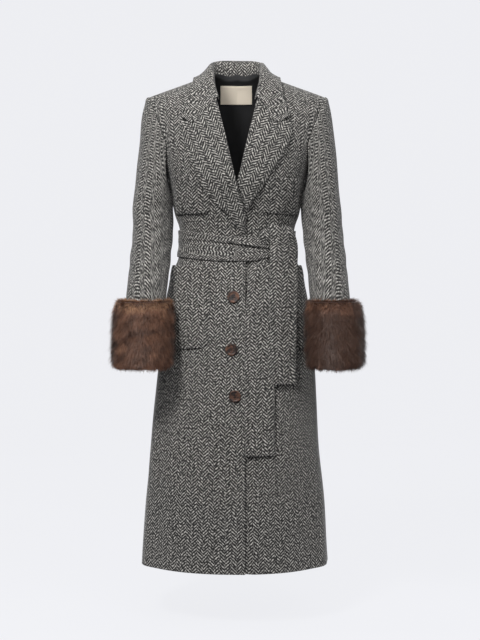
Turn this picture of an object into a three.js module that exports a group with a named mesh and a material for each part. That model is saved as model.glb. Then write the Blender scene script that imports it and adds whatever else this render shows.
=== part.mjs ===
// Long belted coat of herringbone wool with fur cuffs, worn form, no wearer inside.
// Millimetres. +X is the viewer's right, -Y is the front of the coat, +Z is up.
// The origin lies on the centre plane at the height where the shoulders carry the coat.
import * as THREE from 'three';

// Driving dimensions
const CLOTH = 2.6;            // coating with its interlining and lining
const SEAM = 0.3;             // gap between pieces at a seam
const LAYER = CLOTH + 0.5;    // one more thickness of cloth lying on a panel
const HEM_Z = -1140;          // level hem
const UNDERARM_Z = -241;      // bottom of the armholes
const NECK_HEIGHT = 40;       // where the two shoulder lines would cross, above the origin
const SHOULDER_SLOPE = 0.354; // fall of the shoulder line for each mm outwards
const SHOULDER_HOLLOW = 6.5;  // how far that line sinks beside the neck
const YOKE_WIDTH = 242;       // half-width that the chest section grows to at the shoulder
const BODY_POWER = 0.9;       // squareness of the level sections, 1 is an ellipse
const OVERLAP = 19;           // each front passes the centre by this much
const ARMHOLE_ANGLE = 57;     // degrees from the front or back centre to the armhole
const NECK_HALF = 62;         // half-width of the neckline at the shoulder seam
const SKEW = 0.024;           // the skirt hangs this share wider on the viewer's left
const FOLD_RADIUS = 140;      // mean radius that turns the folds' depth into a swell
const UNDER_GAP = 0.5;        // room between the two fronts where they cross

// Level sections of the body: half-width, and depth in front of and behind the side seams
const SECTIONS = [
  { z: -1140, half: 223, front: 170, back: 166 },
  { z: -1013, half: 215, front: 163, back: 159 },
  { z: -884, half: 203, front: 155, back: 152 },
  { z: -755, half: 193.5, front: 145, back: 144 },
  { z: -640, half: 183, front: 135, back: 137 },
  { z: -560, half: 173, front: 127, back: 130 },
  { z: -504, half: 164, front: 119, back: 122 },
  { z: -454, half: 151, front: 109, back: 109 },
  { z: -418, half: 139, front: 101, back: 97 },
  { z: -386, half: 133, front: 97, back: 91 },
  { z: -350, half: 137, front: 101, back: 95 },
  { z: -310, half: 146, front: 110, back: 103 },
  { z: -241, half: 160, front: 125, back: 115 },
];

// Soft vertical folds: angle from the front centre, how far out, half-width in degrees, span
const FOLDS = [
  { angle: -66, out: 6, wide: 10, top: -610, foot: -1140 },
  { angle: 64, out: 6, wide: 10, top: -610, foot: -1140 },
  { angle: 132, out: 7, wide: 10, top: -425, foot: -1140 },
  { angle: -136, out: 7, wide: 10, top: -425, foot: -1140 },
  { angle: 163, out: 6, wide: 9, top: -425, foot: -900 },
  { angle: -168, out: 5, wide: 9, top: -425, foot: -860 },
  { angle: 148, out: 5, wide: 9, top: -270, foot: -366 },
  { angle: -152, out: 5, wide: 9, top: -275, foot: -366 },
];

// Small helpers
const rad = THREE.MathUtils.degToRad;
const lerp = THREE.MathUtils.lerp;
const clamp = THREE.MathUtils.clamp;
const vec = (x, y, z) => new THREE.Vector3(x, y, z);
const power = (value, exponent) => Math.sign(value) * Math.abs(value) ** exponent;
const ease = (value, from, to) => {
  const t = clamp((value - from) / (to - from), 0, 1);
  return t * t * (3 - 2 * t);
};

// Value of a named column of a table at a given key, on a smooth curve through its rows
function column(table, key, at, name) {
  const rows = table[0][key] <= table[table.length - 1][key] ? table : [...table].reverse();
  let i = 0;
  while (i < rows.length - 2 && rows[i + 1][key] < at) i += 1;
  const slope = (k) => {
    const a = rows[Math.max(k - 1, 0)];
    const b = rows[Math.min(k + 1, rows.length - 1)];
    return (b[name] - a[name]) / (b[key] - a[key]);
  };
  const span = rows[i + 1][key] - rows[i][key];
  const t = clamp((at - rows[i][key]) / span, 0, 1);
  const t2 = t * t;
  const t3 = t2 * t;
  return (2 * t3 - 3 * t2 + 1) * rows[i][name] + (t3 - 2 * t2 + t) * span * slope(i)
    + (3 * t2 - 2 * t3) * rows[i + 1][name] + (t3 - t2) * span * slope(i + 1);
}

// Straight-line value between the rows of a table
function straight(table, key, at, name) {
  let i = 0;
  const up = table[table.length - 1][key] > table[0][key];
  while (i < table.length - 2 && (up ? table[i + 1][key] < at : table[i + 1][key] > at)) i += 1;
  const t = clamp((at - table[i][key]) / (table[i + 1][key] - table[i][key]), 0, 1);
  return lerp(table[i][name], table[i + 1][name], t);
}

// Closed wall between two faces of one surface: place(u, v, side) gives a point, with side 1 on
// the outer face and 0 on the inner one, and u and v run from 0 to 1.
function wall(across, along, place, closed = false) {
  const cols = closed ? across : across + 1;
  const rows = along + 1;
  const points = [];
  for (const side of [1, 0]) {
    for (let j = 0; j < rows; j += 1) {
      for (let i = 0; i < cols; i += 1) points.push(...place(i / across, j / along, side).toArray());
    }
  }
  const at = (side, i, j) => (1 - side) * cols * rows + j * cols + (closed ? i % cols : i);
  const faces = [];
  const quad = (a, b, c, d) => faces.push(a, b, c, a, c, d);
  for (let j = 0; j < along; j += 1) {
    for (let i = 0; i < across; i += 1) {
      quad(at(1, i, j), at(1, i + 1, j), at(1, i + 1, j + 1), at(1, i, j + 1));
      quad(at(0, i, j), at(0, i, j + 1), at(0, i + 1, j + 1), at(0, i + 1, j));
    }
  }
  for (let i = 0; i < across; i += 1) {
    quad(at(1, i, 0), at(0, i, 0), at(0, i + 1, 0), at(1, i + 1, 0));
    quad(at(1, i, along), at(1, i + 1, along), at(0, i + 1, along), at(0, i, along));
  }
  for (let j = 0; j < along && !closed; j += 1) {
    quad(at(1, 0, j), at(1, 0, j + 1), at(0, 0, j + 1), at(0, 0, j));
    quad(at(1, across, j), at(0, across, j), at(0, across, j + 1), at(1, across, j + 1));
  }
  return solid(points, faces);
}

// Ring of any closed profile: place(u, v) with both u and v running once round
function ring(around, section, place) {
  const points = [];
  const faces = [];
  for (let j = 0; j < section; j += 1) {
    for (let i = 0; i < around; i += 1) points.push(...place(i / around, j / section).toArray());
  }
  const at = (i, j) => (j % section) * around + (i % around);
  for (let j = 0; j < section; j += 1) {
    for (let i = 0; i < around; i += 1) {
      faces.push(at(i, j), at(i + 1, j), at(i + 1, j + 1), at(i, j), at(i + 1, j + 1), at(i, j + 1));
    }
  }
  return solid(points, faces);
}

// Geometry of a closed body, turned so that its faces point outwards
function solid(points, faces) {
  let volume = 0;
  const corner = (k) => vec(points[3 * k], points[3 * k + 1], points[3 * k + 2]);
  for (let f = 0; f < faces.length; f += 3) {
    volume += corner(faces[f]).dot(corner(faces[f + 1]).cross(corner(faces[f + 2])));
  }
  if (volume < 0) faces.reverse();
  const geometry = new THREE.BufferGeometry();
  geometry.setAttribute('position', new THREE.Float32BufferAttribute(points, 3));
  geometry.setIndex(faces);
  geometry.computeVertexNormals();
  return geometry;
}

// A surface moved out along its own normal, which comes from two short steps on the surface
function movedOut(surface, u, v, step, out, turn = 1) {
  const du = surface(u + step, v).sub(surface(u - step, v));
  const dv = surface(u, v + step).sub(surface(u, v - step));
  return surface(u, v).add(du.cross(dv).normalize().multiplyScalar(out * turn));
}

// Body form: angle from the front centre, and height. A height below 0 is mm under the armhole,
// and one above 0 is the angle of a quarter ellipse that rises over the shoulder.
function shoulderZ(x) {
  const away = Math.abs(x);
  return NECK_HEIGHT - SHOULDER_SLOPE * away - SHOULDER_HOLLOW * ease(away, 30, 100);
}

const ARM = rad(90);

function foldOut(angle, z) {
  let out = 0;
  for (const fold of FOLDS) {
    const away = (THREE.MathUtils.radToDeg(angle) - fold.angle + 540) % 360 - 180;
    const reach = (z - fold.foot) / (fold.top - fold.foot);
    const fade = fold.foot === HEM_Z ? ease(reach, -0.4, 0.05) : ease(reach, 0, 0.3);
    out += fold.out * Math.exp(-((away / fold.wide) ** 2)) * fade * ease(1 - reach, 0, 0.12);
  }
  return out;
}

// Share that widens or narrows one half of the skirt
const skewAt = (side, z) => 1 - SKEW * Math.sign(side) * ease(-z, 560, 900);

function bodyAt(angle, height) {
  const z = UNDERARM_Z + Math.min(height, 0);
  const rise = Math.max(height, 0);
  const depthName = Math.cos(angle) >= 0 ? 'front' : 'back';
  const half = column(SECTIONS, 'z', z, 'half');
  const depth = column(SECTIONS, 'z', z, depthName) * Math.cos(rise);
  const swell = 1 + foldOut(angle, z) / FOLD_RADIUS;
  const sine = Math.sin(angle);
  const x = lerp(half, YOKE_WIDTH, Math.sin(rise)) * power(sine, BODY_POWER) * swell
    * skewAt(sine, z);
  const y = -depth * power(Math.cos(angle), BODY_POWER) * swell;
  return vec(x, y, z + Math.sin(rise) * (shoulderZ(x) - UNDERARM_Z));
}

const body = (angle, height, out) => movedOut(bodyAt, angle, height, 1e-3, out);

// Angle and height on the front of the body of the point seen at x and z
function seenAt(x, z) {
  const low = z <= UNDERARM_Z;
  const sine = low ? 0 : Math.min((z - UNDERARM_Z) / (shoulderZ(x) - UNDERARM_Z), 0.99999);
  const half = lerp(column(SECTIONS, 'z', Math.min(z, UNDERARM_Z), 'half'), YOKE_WIDTH, sine)
    * skewAt(x, z);
  const angle = Math.asin(clamp(power(x / half, 1 / BODY_POWER), -1, 1));
  return { angle, height: low ? z - UNDERARM_Z : Math.asin(sine) };
}

function onFront(x, z, out) {
  const { angle, height } = seenAt(x, z);
  return body(angle, height, out);
}

function onBack(x, z, out) {
  const { angle, height } = seenAt(x, z);
  return body(Math.PI - angle, height, out);
}

// Armhole: its angle on the body drops from the side seam as it rises
const armholeAngle = (rise) => ARM - (ARM - rad(ARMHOLE_ANGLE)) * ease(rise, 0, rad(24)) ** 0.7;

// Rows of the panels, hem to shoulder seam
const LEVELS = [
  -1140, -1030, -920, -810, -700, -610, -540, -485, -440, -413, -386, -360, -330, -290, -262, -241,
].map((z) => z - UNDERARM_Z);
const RISES = [5, 11, 18, 27, 37, 48, 59, 70, 79, 85, 88.4, 89.88].map(rad);
const LAST_RISE = RISES[RISES.length - 1];
const HEIGHTS = [...LEVELS, ...RISES];
const SIDE_SEAM = 0.00022;    // radians that leave half the seam gap at the side

// Inner edge of each front, seen from the front: how far past the centre plane on its own side
const ROLL_LINE = [
  { z: -1140, edge: -OVERLAP },
  { z: -313, edge: -OVERLAP },
  { z: -263, edge: -2.4 },
  { z: -215, edge: 9.5 },
  { z: -162, edge: 21.5 },
  { z: -103, edge: 36 },
  { z: -62, edge: 46 },
  { z: -50, edge: 55 },
  { z: -19, edge: 61 },
  { z: 17, edge: 64 },
  { z: 40, edge: 64 },
];

// First columns of a front: distance out from the centre, and least distance past its inner edge
const FRONT_STEPS = [
  { x: -OVERLAP, past: 0 }, { x: 2, past: 6 }, { x: OVERLAP + 3, past: 12 },
  { x: OVERLAP + 26, past: 22 },
];
const FRONT_COLUMNS = 12;

// A front panel: side 1 is the viewer's right, and under says that it lies behind the other one
function frontPanel(side, under) {
  const outerAngle = (height) => (height > 0 ? armholeAngle(height) : ARM - SIDE_SEAM);
  const innerAngle = (height) => {
    let z = UNDERARM_Z + Math.min(height, 0);
    let found = { angle: 0 };
    for (let pass = 0; pass < 6; pass += 1) {
      const x = straight(ROLL_LINE, 'z', z, 'edge');
      if (height > 0) z = UNDERARM_Z + Math.sin(height) * (shoulderZ(x) - UNDERARM_Z);
      found = seenAt(x, z);
    }
    return found.angle;
  };
  return wall(FRONT_COLUMNS, HEIGHTS.length - 1, (u, v, face) => {
    const height = HEIGHTS[Math.round(v * (HEIGHTS.length - 1))];
    const place = Math.round(u * FRONT_COLUMNS);
    const inner = bodyAt(innerAngle(height), height).x;
    const z = UNDERARM_Z + Math.min(height, 0);
    const half = lerp(column(SECTIONS, 'z', z, 'half'), YOKE_WIDTH, Math.sin(Math.max(height, 0)));
    const angleOf = (x) => Math.asin(power(x / half, 1 / BODY_POWER));
    const steps = FRONT_STEPS.map(({ x, past }) => angleOf(Math.max(x, inner + past)));
    const share = (place - steps.length + 1) / (FRONT_COLUMNS - steps.length + 1);
    const angle = share <= 0 ? steps[place]
      : lerp(steps[steps.length - 1], outerAngle(height), share);
    const x = power(Math.sin(angle), BODY_POWER) * half;
    const behind = under ? (LAYER + UNDER_GAP) * (1 - ease(x, OVERLAP + 3, OVERLAP + 26)) : 0;
    return body(side * angle, height, -behind - (1 - face) * CLOTH);
  });
}

// Back panel, with the neckline scooped between the shoulder seams
const BACK_HALF = [0, 0.07, 0.14, 0.2, 0.27, 0.37, 0.48, 0.59, 0.7, 0.81, 0.91, 1];
const BACK_STEPS = [...BACK_HALF.slice(1).reverse().map((f) => -f), ...BACK_HALF];
const NECK_DROP = rad(64);

// Point of the back at a row and column, moved out
function onBackPanel(row, step, out) {
  const height = HEIGHTS[row];
  const reach = height > 0 ? armholeAngle(height) : ARM - SIDE_SEAM;
  const x = YOKE_WIDTH * power(Math.sin(Math.abs(step) * rad(ARMHOLE_ANGLE)), BODY_POWER);
  const top = lerp(NECK_DROP, LAST_RISE, Math.min(x / NECK_HALF, 1) ** 3);
  const rise = height > 0 ? height * lerp(1, top / LAST_RISE, ease(height, 0, LAST_RISE)) : height;
  return body(Math.PI - step * reach, rise, out);
}

const backPanel = () => wall(BACK_STEPS.length - 1, HEIGHTS.length - 1, (u, v, face) => (
  onBackPanel(Math.round(v * (HEIGHTS.length - 1)), BACK_STEPS[Math.round(u * (BACK_STEPS.length - 1))],
    -(1 - face) * CLOTH)));

// Lapels. Each outline is seen from the front: distance out from the centre on its own side.
const LAPELS = {
  right: {
    side: -1,
    rows: [
      { t: 0, inZ: -360, inX: -18, outZ: -366, outX: -15 },
      { t: 0.14, inZ: -318, inX: -18.5, outZ: -325, outX: 16 },
      { t: 0.32, inZ: -263, inX: -2.4, outZ: -288, outX: 57 },
      { t: 0.52, inZ: -205, inX: 12, outZ: -239, outX: 85 },
      { t: 0.7, inZ: -150, inX: 24.5, outZ: -190, outX: 106 },
      { t: 0.86, inZ: -100, inX: 36.5, outZ: -149, outX: 120 },
      { t: 1, inZ: -60, inX: 46.5, outZ: -107.5, outX: 126 },
    ],
    notch: { x: 86, z: -112 },
  },
  left: {
    side: 1,
    rows: [
      { t: 0, inZ: -308, inX: 22, outZ: -312, outX: 24 },
      { t: 0.14, inZ: -280, inX: 12, outZ: -284, outX: 38 },
      { t: 0.3, inZ: -250, inX: 5, outZ: -259, outX: 56 },
      { t: 0.5, inZ: -205, inX: 12, outZ: -222, outX: 78 },
      { t: 0.7, inZ: -150, inX: 24.5, outZ: -180, outX: 105 },
      { t: 0.86, inZ: -100, inX: 36.5, outZ: -140, outX: 123 },
      { t: 1, inZ: -60, inX: 46.5, outZ: -107, outX: 125 },
    ],
    notch: { x: 86, z: -112 },
  },
};
const NOTCH_SHARE = 0.56;     // share of the lapel's top edge that is sewn to the collar

function lapel({ side, rows, notch }) {
  const end = rows[rows.length - 1];
  return wall(7, 14, (u, v, face) => {
    const inner = { x: straight(rows, 't', v, 'inX'), z: straight(rows, 't', v, 'inZ') };
    const outer = { x: column(rows, 't', v, 'outX'), z: column(rows, 't', v, 'outZ') };
    const near = u < NOTCH_SHARE;
    const share = near ? u / NOTCH_SHARE : (u - NOTCH_SHARE) / (1 - NOTCH_SHARE);
    const top = {
      x: near ? lerp(end.inX, notch.x, share) : lerp(notch.x, end.outX, share),
      z: near ? lerp(end.inZ, notch.z, share) : lerp(notch.z, end.outZ, share),
    };
    const bend = v ** 6;
    const x = lerp(inner.x, outer.x, u) + bend * (top.x - lerp(end.inX, end.outX, u));
    const z = lerp(inner.z, outer.z, u) + bend * (top.z - lerp(end.inZ, end.outZ, u));
    const lift = 1.4 + 2.5 * Math.min(u / 0.45, 1);
    return onFront(side * x, z, lift + face * CLOTH);
  });
}

// Collar: one folded wall. Each row is a section from the centre back to the front end, with the
// foot of the stand, the stand, the roll, the turn, the fall and the fall's edge.
const COLLAR = [
  { foot: vec(0, 50, 13), stand: vec(0, 51, 34), roll: vec(0, 59, 53),
    turn: vec(0, 68, 47), fall: vec(0, 74, 22), edge: vec(0, 77, -14) },
  { foot: vec(32, 45, 14), stand: vec(33, 46, 34), roll: vec(34, 54, 52),
    turn: vec(38, 63, 46), fall: vec(43, 69, 21), edge: vec(49, 73, -13) },
  { foot: vec(54, 27, 16), stand: vec(54, 26, 31), roll: vec(56, 33, 45),
    turn: vec(63, 39, 39), fall: vec(73, 44, 17), edge: vec(84, 51, -8) },
  { foot: vec(58, 2, 18.5), stand: vec(58, 1, 29), roll: vec(60, 3, 39.5),
    turn: vec(68, 4, 33.5), fall: vec(82, 5, 18), edge: vec(98, 6, 5.5) },
  { foot: vec(57, -26, 10), stand: vec(57, -29, 17), roll: vec(59, -33, 27),
    turn: vec(67, -35, 21), fall: vec(82, -36, 7.5), edge: vec(101, -36, -6) },
  { foot: vec(52, -57, -19), stand: vec(52, -62, -16), roll: vec(55.5, -69, -12),
    turn: vec(65, -72, -20), fall: vec(83, -75, -33), edge: vec(106, -77, -46) },
  { foot: vec(44, -83, -57), stand: vec(44, -87, -56), roll: vec(47.5, -93, -53),
    turn: onFront(63, -77, 6.5), fall: onFront(86, -108, 6.5), edge: onFront(121, -94, 6.5) },
];
const PATH = ['foot', 'stand', 'roll', 'turn', 'fall', 'edge'];
const mirrored = (p) => vec(-p.x, p.y, p.z);

// Point of a smooth curve through a list, at a share from 0 to 1
function through(list, share) {
  const at = share * (list.length - 1);
  const i = clamp(Math.floor(at), 0, list.length - 2);
  const t = at - i;
  const a = list[i];
  const b = list[i + 1];
  const before = i > 0 ? list[i - 1] : a.clone().multiplyScalar(2).sub(b);
  const after = i < list.length - 2 ? list[i + 2] : b.clone().multiplyScalar(2).sub(a);
  const part = (c) => 0.5 * (2 * a[c] + (b[c] - before[c]) * t
    + (2 * before[c] - 5 * a[c] + 4 * b[c] - after[c]) * t * t
    + (3 * a[c] - before[c] - 3 * b[c] + after[c]) * t * t * t);
  return vec(part('x'), part('y'), part('z'));
}

function collarAt(along, across) {
  const stations = PATH.map((name) => through([
    ...COLLAR.slice(1).reverse().map((row) => mirrored(row[name])),
    ...COLLAR.map((row) => row[name]),
  ], along));
  return through(stations, across);
}

const collar = () => wall(24, 11, (u, v, face) => (
  movedOut(collarAt, u, v, 1e-3, -(1 - face) * CLOTH, -1)));

// Sleeves. Level sections under the armhole: centre, and half-widths across and fore and aft
const SLEEVE = [
  { z: -300, x: 199.5, y: -10, half: 48.5, deep: 66 },
  { z: -367, x: 203, y: -28, half: 48, deep: 62 },
  { z: -439, x: 209, y: -62, half: 47.5, deep: 56 },
  { z: -482, x: 212, y: -88, half: 46.5, deep: 51 },
  { z: -513, x: 214, y: -106, half: 46, deep: 46 },
];
const SLEEVE_END = { z: -672, x: 219, y: -142, half: 45, deep: 41 };
const RIGHT_LEAN = 5;         // the wearer's right forearm hangs this much nearer the body
const HEAD_ROUND = 72;        // how far the sleeve head runs out before it turns down
const SEAM_RISES = { front: 18, back: 48 }; // degrees up the armhole where its two seams start

// Armhole point: turn 0 is the shoulder, and it runs forwards to the underarm at half a turn
const riseAt = (turn) => LAST_RISE * (0.5 + 0.5 * Math.cos(turn)) ** 0.8;
const turnAt = (rise) => Math.acos(2 * Math.min(rise / LAST_RISE, 1) ** 1.25 - 1);

function armholeAt(turn) {
  const rise = riseAt(turn);
  const angle = armholeAngle(rise);
  return bodyAt(Math.sin(turn) >= 0 ? angle : Math.PI - angle, rise);
}

// Named size of the sleeve's tube at a height; it runs straight inside the cuff
function tubeSize(z, name) {
  const wrist = SLEEVE[SLEEVE.length - 1];
  if (z >= wrist.z) return column(SLEEVE, 'z', z, name);
  return lerp(wrist[name], SLEEVE_END[name], (z - wrist.z) / (SLEEVE_END.z - wrist.z));
}

// How far a side's tube leans in from the shared sizes at a height
const leanAt = (side, z) => (side < 0 ? RIGHT_LEAN * ease(-z, 280, 400) : 0);

// Point of a sleeve: length runs from 0 at the armhole to 1 where the tube starts, then to 2
function sleeveAt(side, turn, length) {
  const z = lerp(SLEEVE[0].z, SLEEVE_END.z, Math.max(length - 1, 0));
  const at = (name) => tubeSize(z, name);
  const tube = vec(at('x') - leanAt(side, z) + at('half') * Math.cos(turn),
    at('y') - at('deep') * Math.sin(turn), z);
  if (length >= 1) return tube;
  const start = armholeAt(turn).add(vec(SEAM + 0.3, 0, 0));
  const low = 0.5 - 0.5 * Math.cos(turn);
  const leave = vec(1 - 0.93 * low, -0.3 * Math.sin(turn), -0.9 * low)
    .multiplyScalar(lerp(HEAD_ROUND, 70, low));
  const arrive = vec(34, -14, -230).multiplyScalar(lerp(1, 0.32, low));
  const t2 = length ** 2;
  const t3 = length ** 3;
  return start.multiplyScalar(2 * t3 - 3 * t2 + 1).addScaledVector(leave, t3 - 2 * t2 + length)
    .addScaledVector(tube, 3 * t2 - 2 * t3).addScaledVector(arrive, t3 - t2);
}

const SLEEVE_ROWS = [
  0, 0.06, 0.13, 0.22, 0.33, 0.46, 0.62, 0.8,
  ...[-300, -345, -390, -439, -482, -513, -592, -672]
    .map((z) => 1 + (z - SLEEVE[0].z) / (SLEEVE_END.z - SLEEVE[0].z)),
];

// Turns of the sleeve's columns, each at a row of the panels along the armhole
const frontTurns = [0, ...RISES].map(turnAt);
const roundTurns = [...frontTurns.map((turn) => -turn), ...frontTurns.slice(0, -1).reverse()];

function sleevePiece(side, top) {
  const gap = SEAM / 120;
  const tol = 1e-6;
  const frontSeam = turnAt(rad(SEAM_RISES.front));
  const backSeam = -turnAt(rad(SEAM_RISES.back));
  const turns = top
    ? roundTurns.filter((turn) => turn >= backSeam - tol && turn <= frontSeam + tol)
    : [...roundTurns.filter((turn) => turn >= frontSeam - tol),
      ...roundTurns.filter((turn) => turn <= backSeam + tol && turn > -Math.PI + tol)
        .map((turn) => turn + 2 * Math.PI)];
  const last = turns.length - 1;
  const tube = (turn, length) => sleeveAt(side, turn, length);
  turns[0] += gap;
  turns[last] -= gap;
  return wall(last, SLEEVE_ROWS.length - 1, (u, v, face) => {
    const length = SLEEVE_ROWS[Math.round(v * (SLEEVE_ROWS.length - 1))];
    const turn = turns[Math.round(u * last)];
    const near = Math.max(length, 2e-3);
    const inward = movedOut(tube, turn, near, 1e-3, -1).sub(tube(turn, near));
    const p = tube(turn, length).addScaledVector(inward, (1 - face) * CLOTH);
    return side > 0 ? p : mirrored(p);
  });
}

// Fur cuffs: closed profile, with its place down the cuff and its share of the fur's depth
const CUFF = { top: -513, foot: -681, gap: 1.0 };
const CUFF_SIDES = {
  right: { side: -1, reach: 73, x: 217.5 },
  left: { side: 1, reach: 68.5, x: 228 },
};
const CUFF_DEEP = 62;         // half-depth of the cuff, fore and aft
const CUFF_PROFILE = [
  { down: 0.02, out: 0 }, { down: 0, out: 0.35 }, { down: 0.03, out: 0.76 },
  { down: 0.12, out: 0.96 }, { down: 0.32, out: 1 }, { down: 0.7, out: 1 },
  { down: 0.88, out: 0.96 }, { down: 0.97, out: 0.76 }, { down: 1, out: 0.35 },
  { down: 0.98, out: 0 },
];

function cuff({ side, reach, x }) {
  return ring(26, CUFF_PROFILE.length, (u, v) => {
    const row = CUFF_PROFILE[Math.round(v * CUFF_PROFILE.length)];
    const z = lerp(CUFF.top, CUFF.foot, row.down);
    const at = (name) => tubeSize(z, name);
    const turn = 2 * Math.PI * u;
    const centre = lerp(at('x') - leanAt(side, z), x, row.out);
    const half = lerp(at('half') + CUFF.gap, reach, row.out);
    const deep = lerp(at('deep') + CUFF.gap, CUFF_DEEP, row.out);
    return vec(side * (centre + half * Math.cos(turn)), at('y') - deep * Math.sin(turn), z);
  });
}

const PATCH_LIFT = 0.9;       // clears the flat faces of the panel under a patch
const PATCH_BOW = 0.02;       // rise of a pocket's bottom corners, as a share of its height
const PATCH_KEEP = 2.5;       // least distance from a pocket to the outline of the body

// Patch pockets: seen from the front, with the lower inner corner rounded
const CHEST_POCKET = { inner: 64, outer: 141, top: -238, foot: -319, round: 6, flare: 0 };
const HIP_POCKET = { inner: 63, outer: 170, top: -441, foot: -632, round: 26, flare: 5 };

function pocket(side, size) {
  return wall(8, 7, (u, v, face) => {
    const z = lerp(size.foot, size.top, v);
    const limit = column(SECTIONS, 'z', z, 'half') - PATCH_KEEP;
    const outer = Math.min(size.outer, limit);
    const corner = clamp((z - size.foot) / size.round, 0, 1);
    const inner = size.inner + size.round * (1 - Math.sqrt(1 - (1 - corner) ** 2));
    const bowed = z + (size.top - size.foot) * PATCH_BOW * (1 - v) * (2 * u - 1) ** 2;
    const flare = size.flare * ease(v, 0.7, 1) * ease(u, 0.35, 1);
    const angle = lerp(seenAt(inner, z).angle, seenAt(outer, z).angle, u);
    const x = column(SECTIONS, 'z', z, 'half') * power(Math.sin(angle), BODY_POWER);
    return onFront(side * x, bowed, PATCH_LIFT + flare + face * CLOTH);
  });
}

// Sash belt: band, knot and two hanging ends
const BELT = { middle: -387, half: 31, dip: 14, lift: 1, slope: 9, puff: 1.6, pinch: 6 };

function beltBand() {
  return wall(44, 3, (u, v, face) => {
    const angle = 2 * Math.PI * u;
    const ahead = Math.max(Math.cos(angle), 0);
    const slope = BELT.slope * Math.sin(angle) * ahead;
    const pinch = BELT.pinch * ease(angle, rad(13), rad(28)) * (1 - ease(angle, rad(35), rad(60)));
    const z = BELT.middle - BELT.dip * ahead ** 2 - slope * v + (2 * v - 1) * (BELT.half - 3 * ahead)
      + pinch * (1 - v);
    const puff = BELT.puff * Math.sin(Math.PI * v);
    return body(angle, z - UNDERARM_Z, BELT.lift + puff + face * CLOTH);
  }, true);
}

// A strip of sash hanging down the front: rows of its edges and how far it stands off
function sash(rows, across, along) {
  return wall(across, along, (u, v, face) => {
    const at = (name) => column(rows, 't', v, name);
    const soft = at('bulge') * Math.sin(Math.PI * u);
    return onFront(lerp(at('left'), at('right'), u), at('z') + at('tilt') * (u - 0.5),
      at('out') + soft + face * CLOTH);
  });
}

const KNOT = [
  { t: 0, z: -388, left: 50, right: 71.5, tilt: -8, out: 5.7, bulge: 0.8 },
  { t: 0.5, z: -371, left: 49.5, right: 71.5, tilt: 4, out: 7.5, bulge: 2 },
  { t: 1, z: -356, left: 50, right: 71, tilt: 16, out: 5, bulge: 1 },
];
const TAIL_FRONT = [
  { t: 0, z: -711, left: 79, right: 128, tilt: 1, out: 8.8, bulge: 0 },
  { t: 0.25, z: -622, left: 76, right: 130, tilt: 0, out: 8.8, bulge: 1 },
  { t: 0.5, z: -533, left: 73, right: 131, tilt: 0, out: 9, bulge: 2 },
  { t: 0.72, z: -455, left: 72.5, right: 131, tilt: 4, out: 11, bulge: 3 },
  { t: 0.86, z: -403, left: 72.5, right: 127, tilt: -2, out: 14, bulge: 4 },
  { t: 0.95, z: -366, left: 72.5, right: 122, tilt: -4, out: 10, bulge: 3 },
  { t: 1, z: -346, left: 74, right: 118, tilt: -2, out: 1, bulge: 1 },
];
const TAIL_BACK = [
  { t: 0, z: -872, left: 19, right: 84, tilt: 0, out: 4.4, bulge: 0 },
  { t: 0.35, z: -718, left: 18.5, right: 83, tilt: 0, out: 4.4, bulge: 1 },
  { t: 0.7, z: -560, left: 19, right: 81.5, tilt: 0, out: 4.4, bulge: 1 },
  { t: 0.92, z: -462, left: 29, right: 80, tilt: 2, out: 4.4, bulge: 1 },
  { t: 1, z: -438, left: 37, right: 77, tilt: 4, out: 4.4, bulge: 1 },
];

// Buttons, a row of three under the belt on the front that lies on top
const BUTTON_RADIUS = 14;
const BUTTONS = [{ x: -8, z: -511 }, { x: -12, z: -631 }, { x: -4.5, z: -737 }];
const BUTTON_PROFILE = [
  [0, 0], [11.5, 0], [BUTTON_RADIUS, 1.4], [BUTTON_RADIUS, 3], [12.8, 4.4], [11, 4.3],
  [9.2, 3.1], [0, 3.1],
].map(([r, h]) => new THREE.Vector2(r, h));

// Lining seen inside the neck, from the waist up, and the blank label on it
const LINING = { gap: 0.5, thick: 1.2, firstRow: 10, dropRows: 1 };
const LABEL = { left: -41, right: 38, foot: -45, top: 1, gap: 1.3, thick: 0.8 };

function lining() {
  const steps = BACK_STEPS.slice(1, -1);
  const rows = HEIGHTS.length - 1 - LINING.dropRows - LINING.firstRow;
  return wall(steps.length - 1, rows, (u, v, face) => (
    onBackPanel(LINING.firstRow + Math.round(v * rows), steps[Math.round(u * (steps.length - 1))],
      -CLOTH - LINING.gap - (1 - face) * LINING.thick)));
}

function label() {
  const out = -CLOTH - LINING.gap - LINING.thick - LABEL.gap;
  return wall(6, 3, (u, v, face) => onBack(lerp(LABEL.left, LABEL.right, u),
    lerp(LABEL.foot, LABEL.top, v), out - (1 - face) * LABEL.thick));
}

// Finishes
const wool = new THREE.MeshStandardMaterial({ color: 0x5a5856, roughness: 0.9, metalness: 0 });
const furry = new THREE.MeshStandardMaterial({ color: 0x4e342a, roughness: 0.8, metalness: 0 });
const horn = new THREE.MeshStandardMaterial({ color: 0x2b1a14, roughness: 0.3, metalness: 0 });
const satin = new THREE.MeshStandardMaterial({ color: 0x0c0c0e, roughness: 0.5, metalness: 0 });
const ribbon = new THREE.MeshStandardMaterial({ color: 0xc9b6a2, roughness: 0.7, metalness: 0 });

const coat = new THREE.Group();

function add(name, geometry, material) {
  const mesh = new THREE.Mesh(geometry, material.clone());
  mesh.name = name;
  coat.add(mesh);
  return mesh;
}

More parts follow.
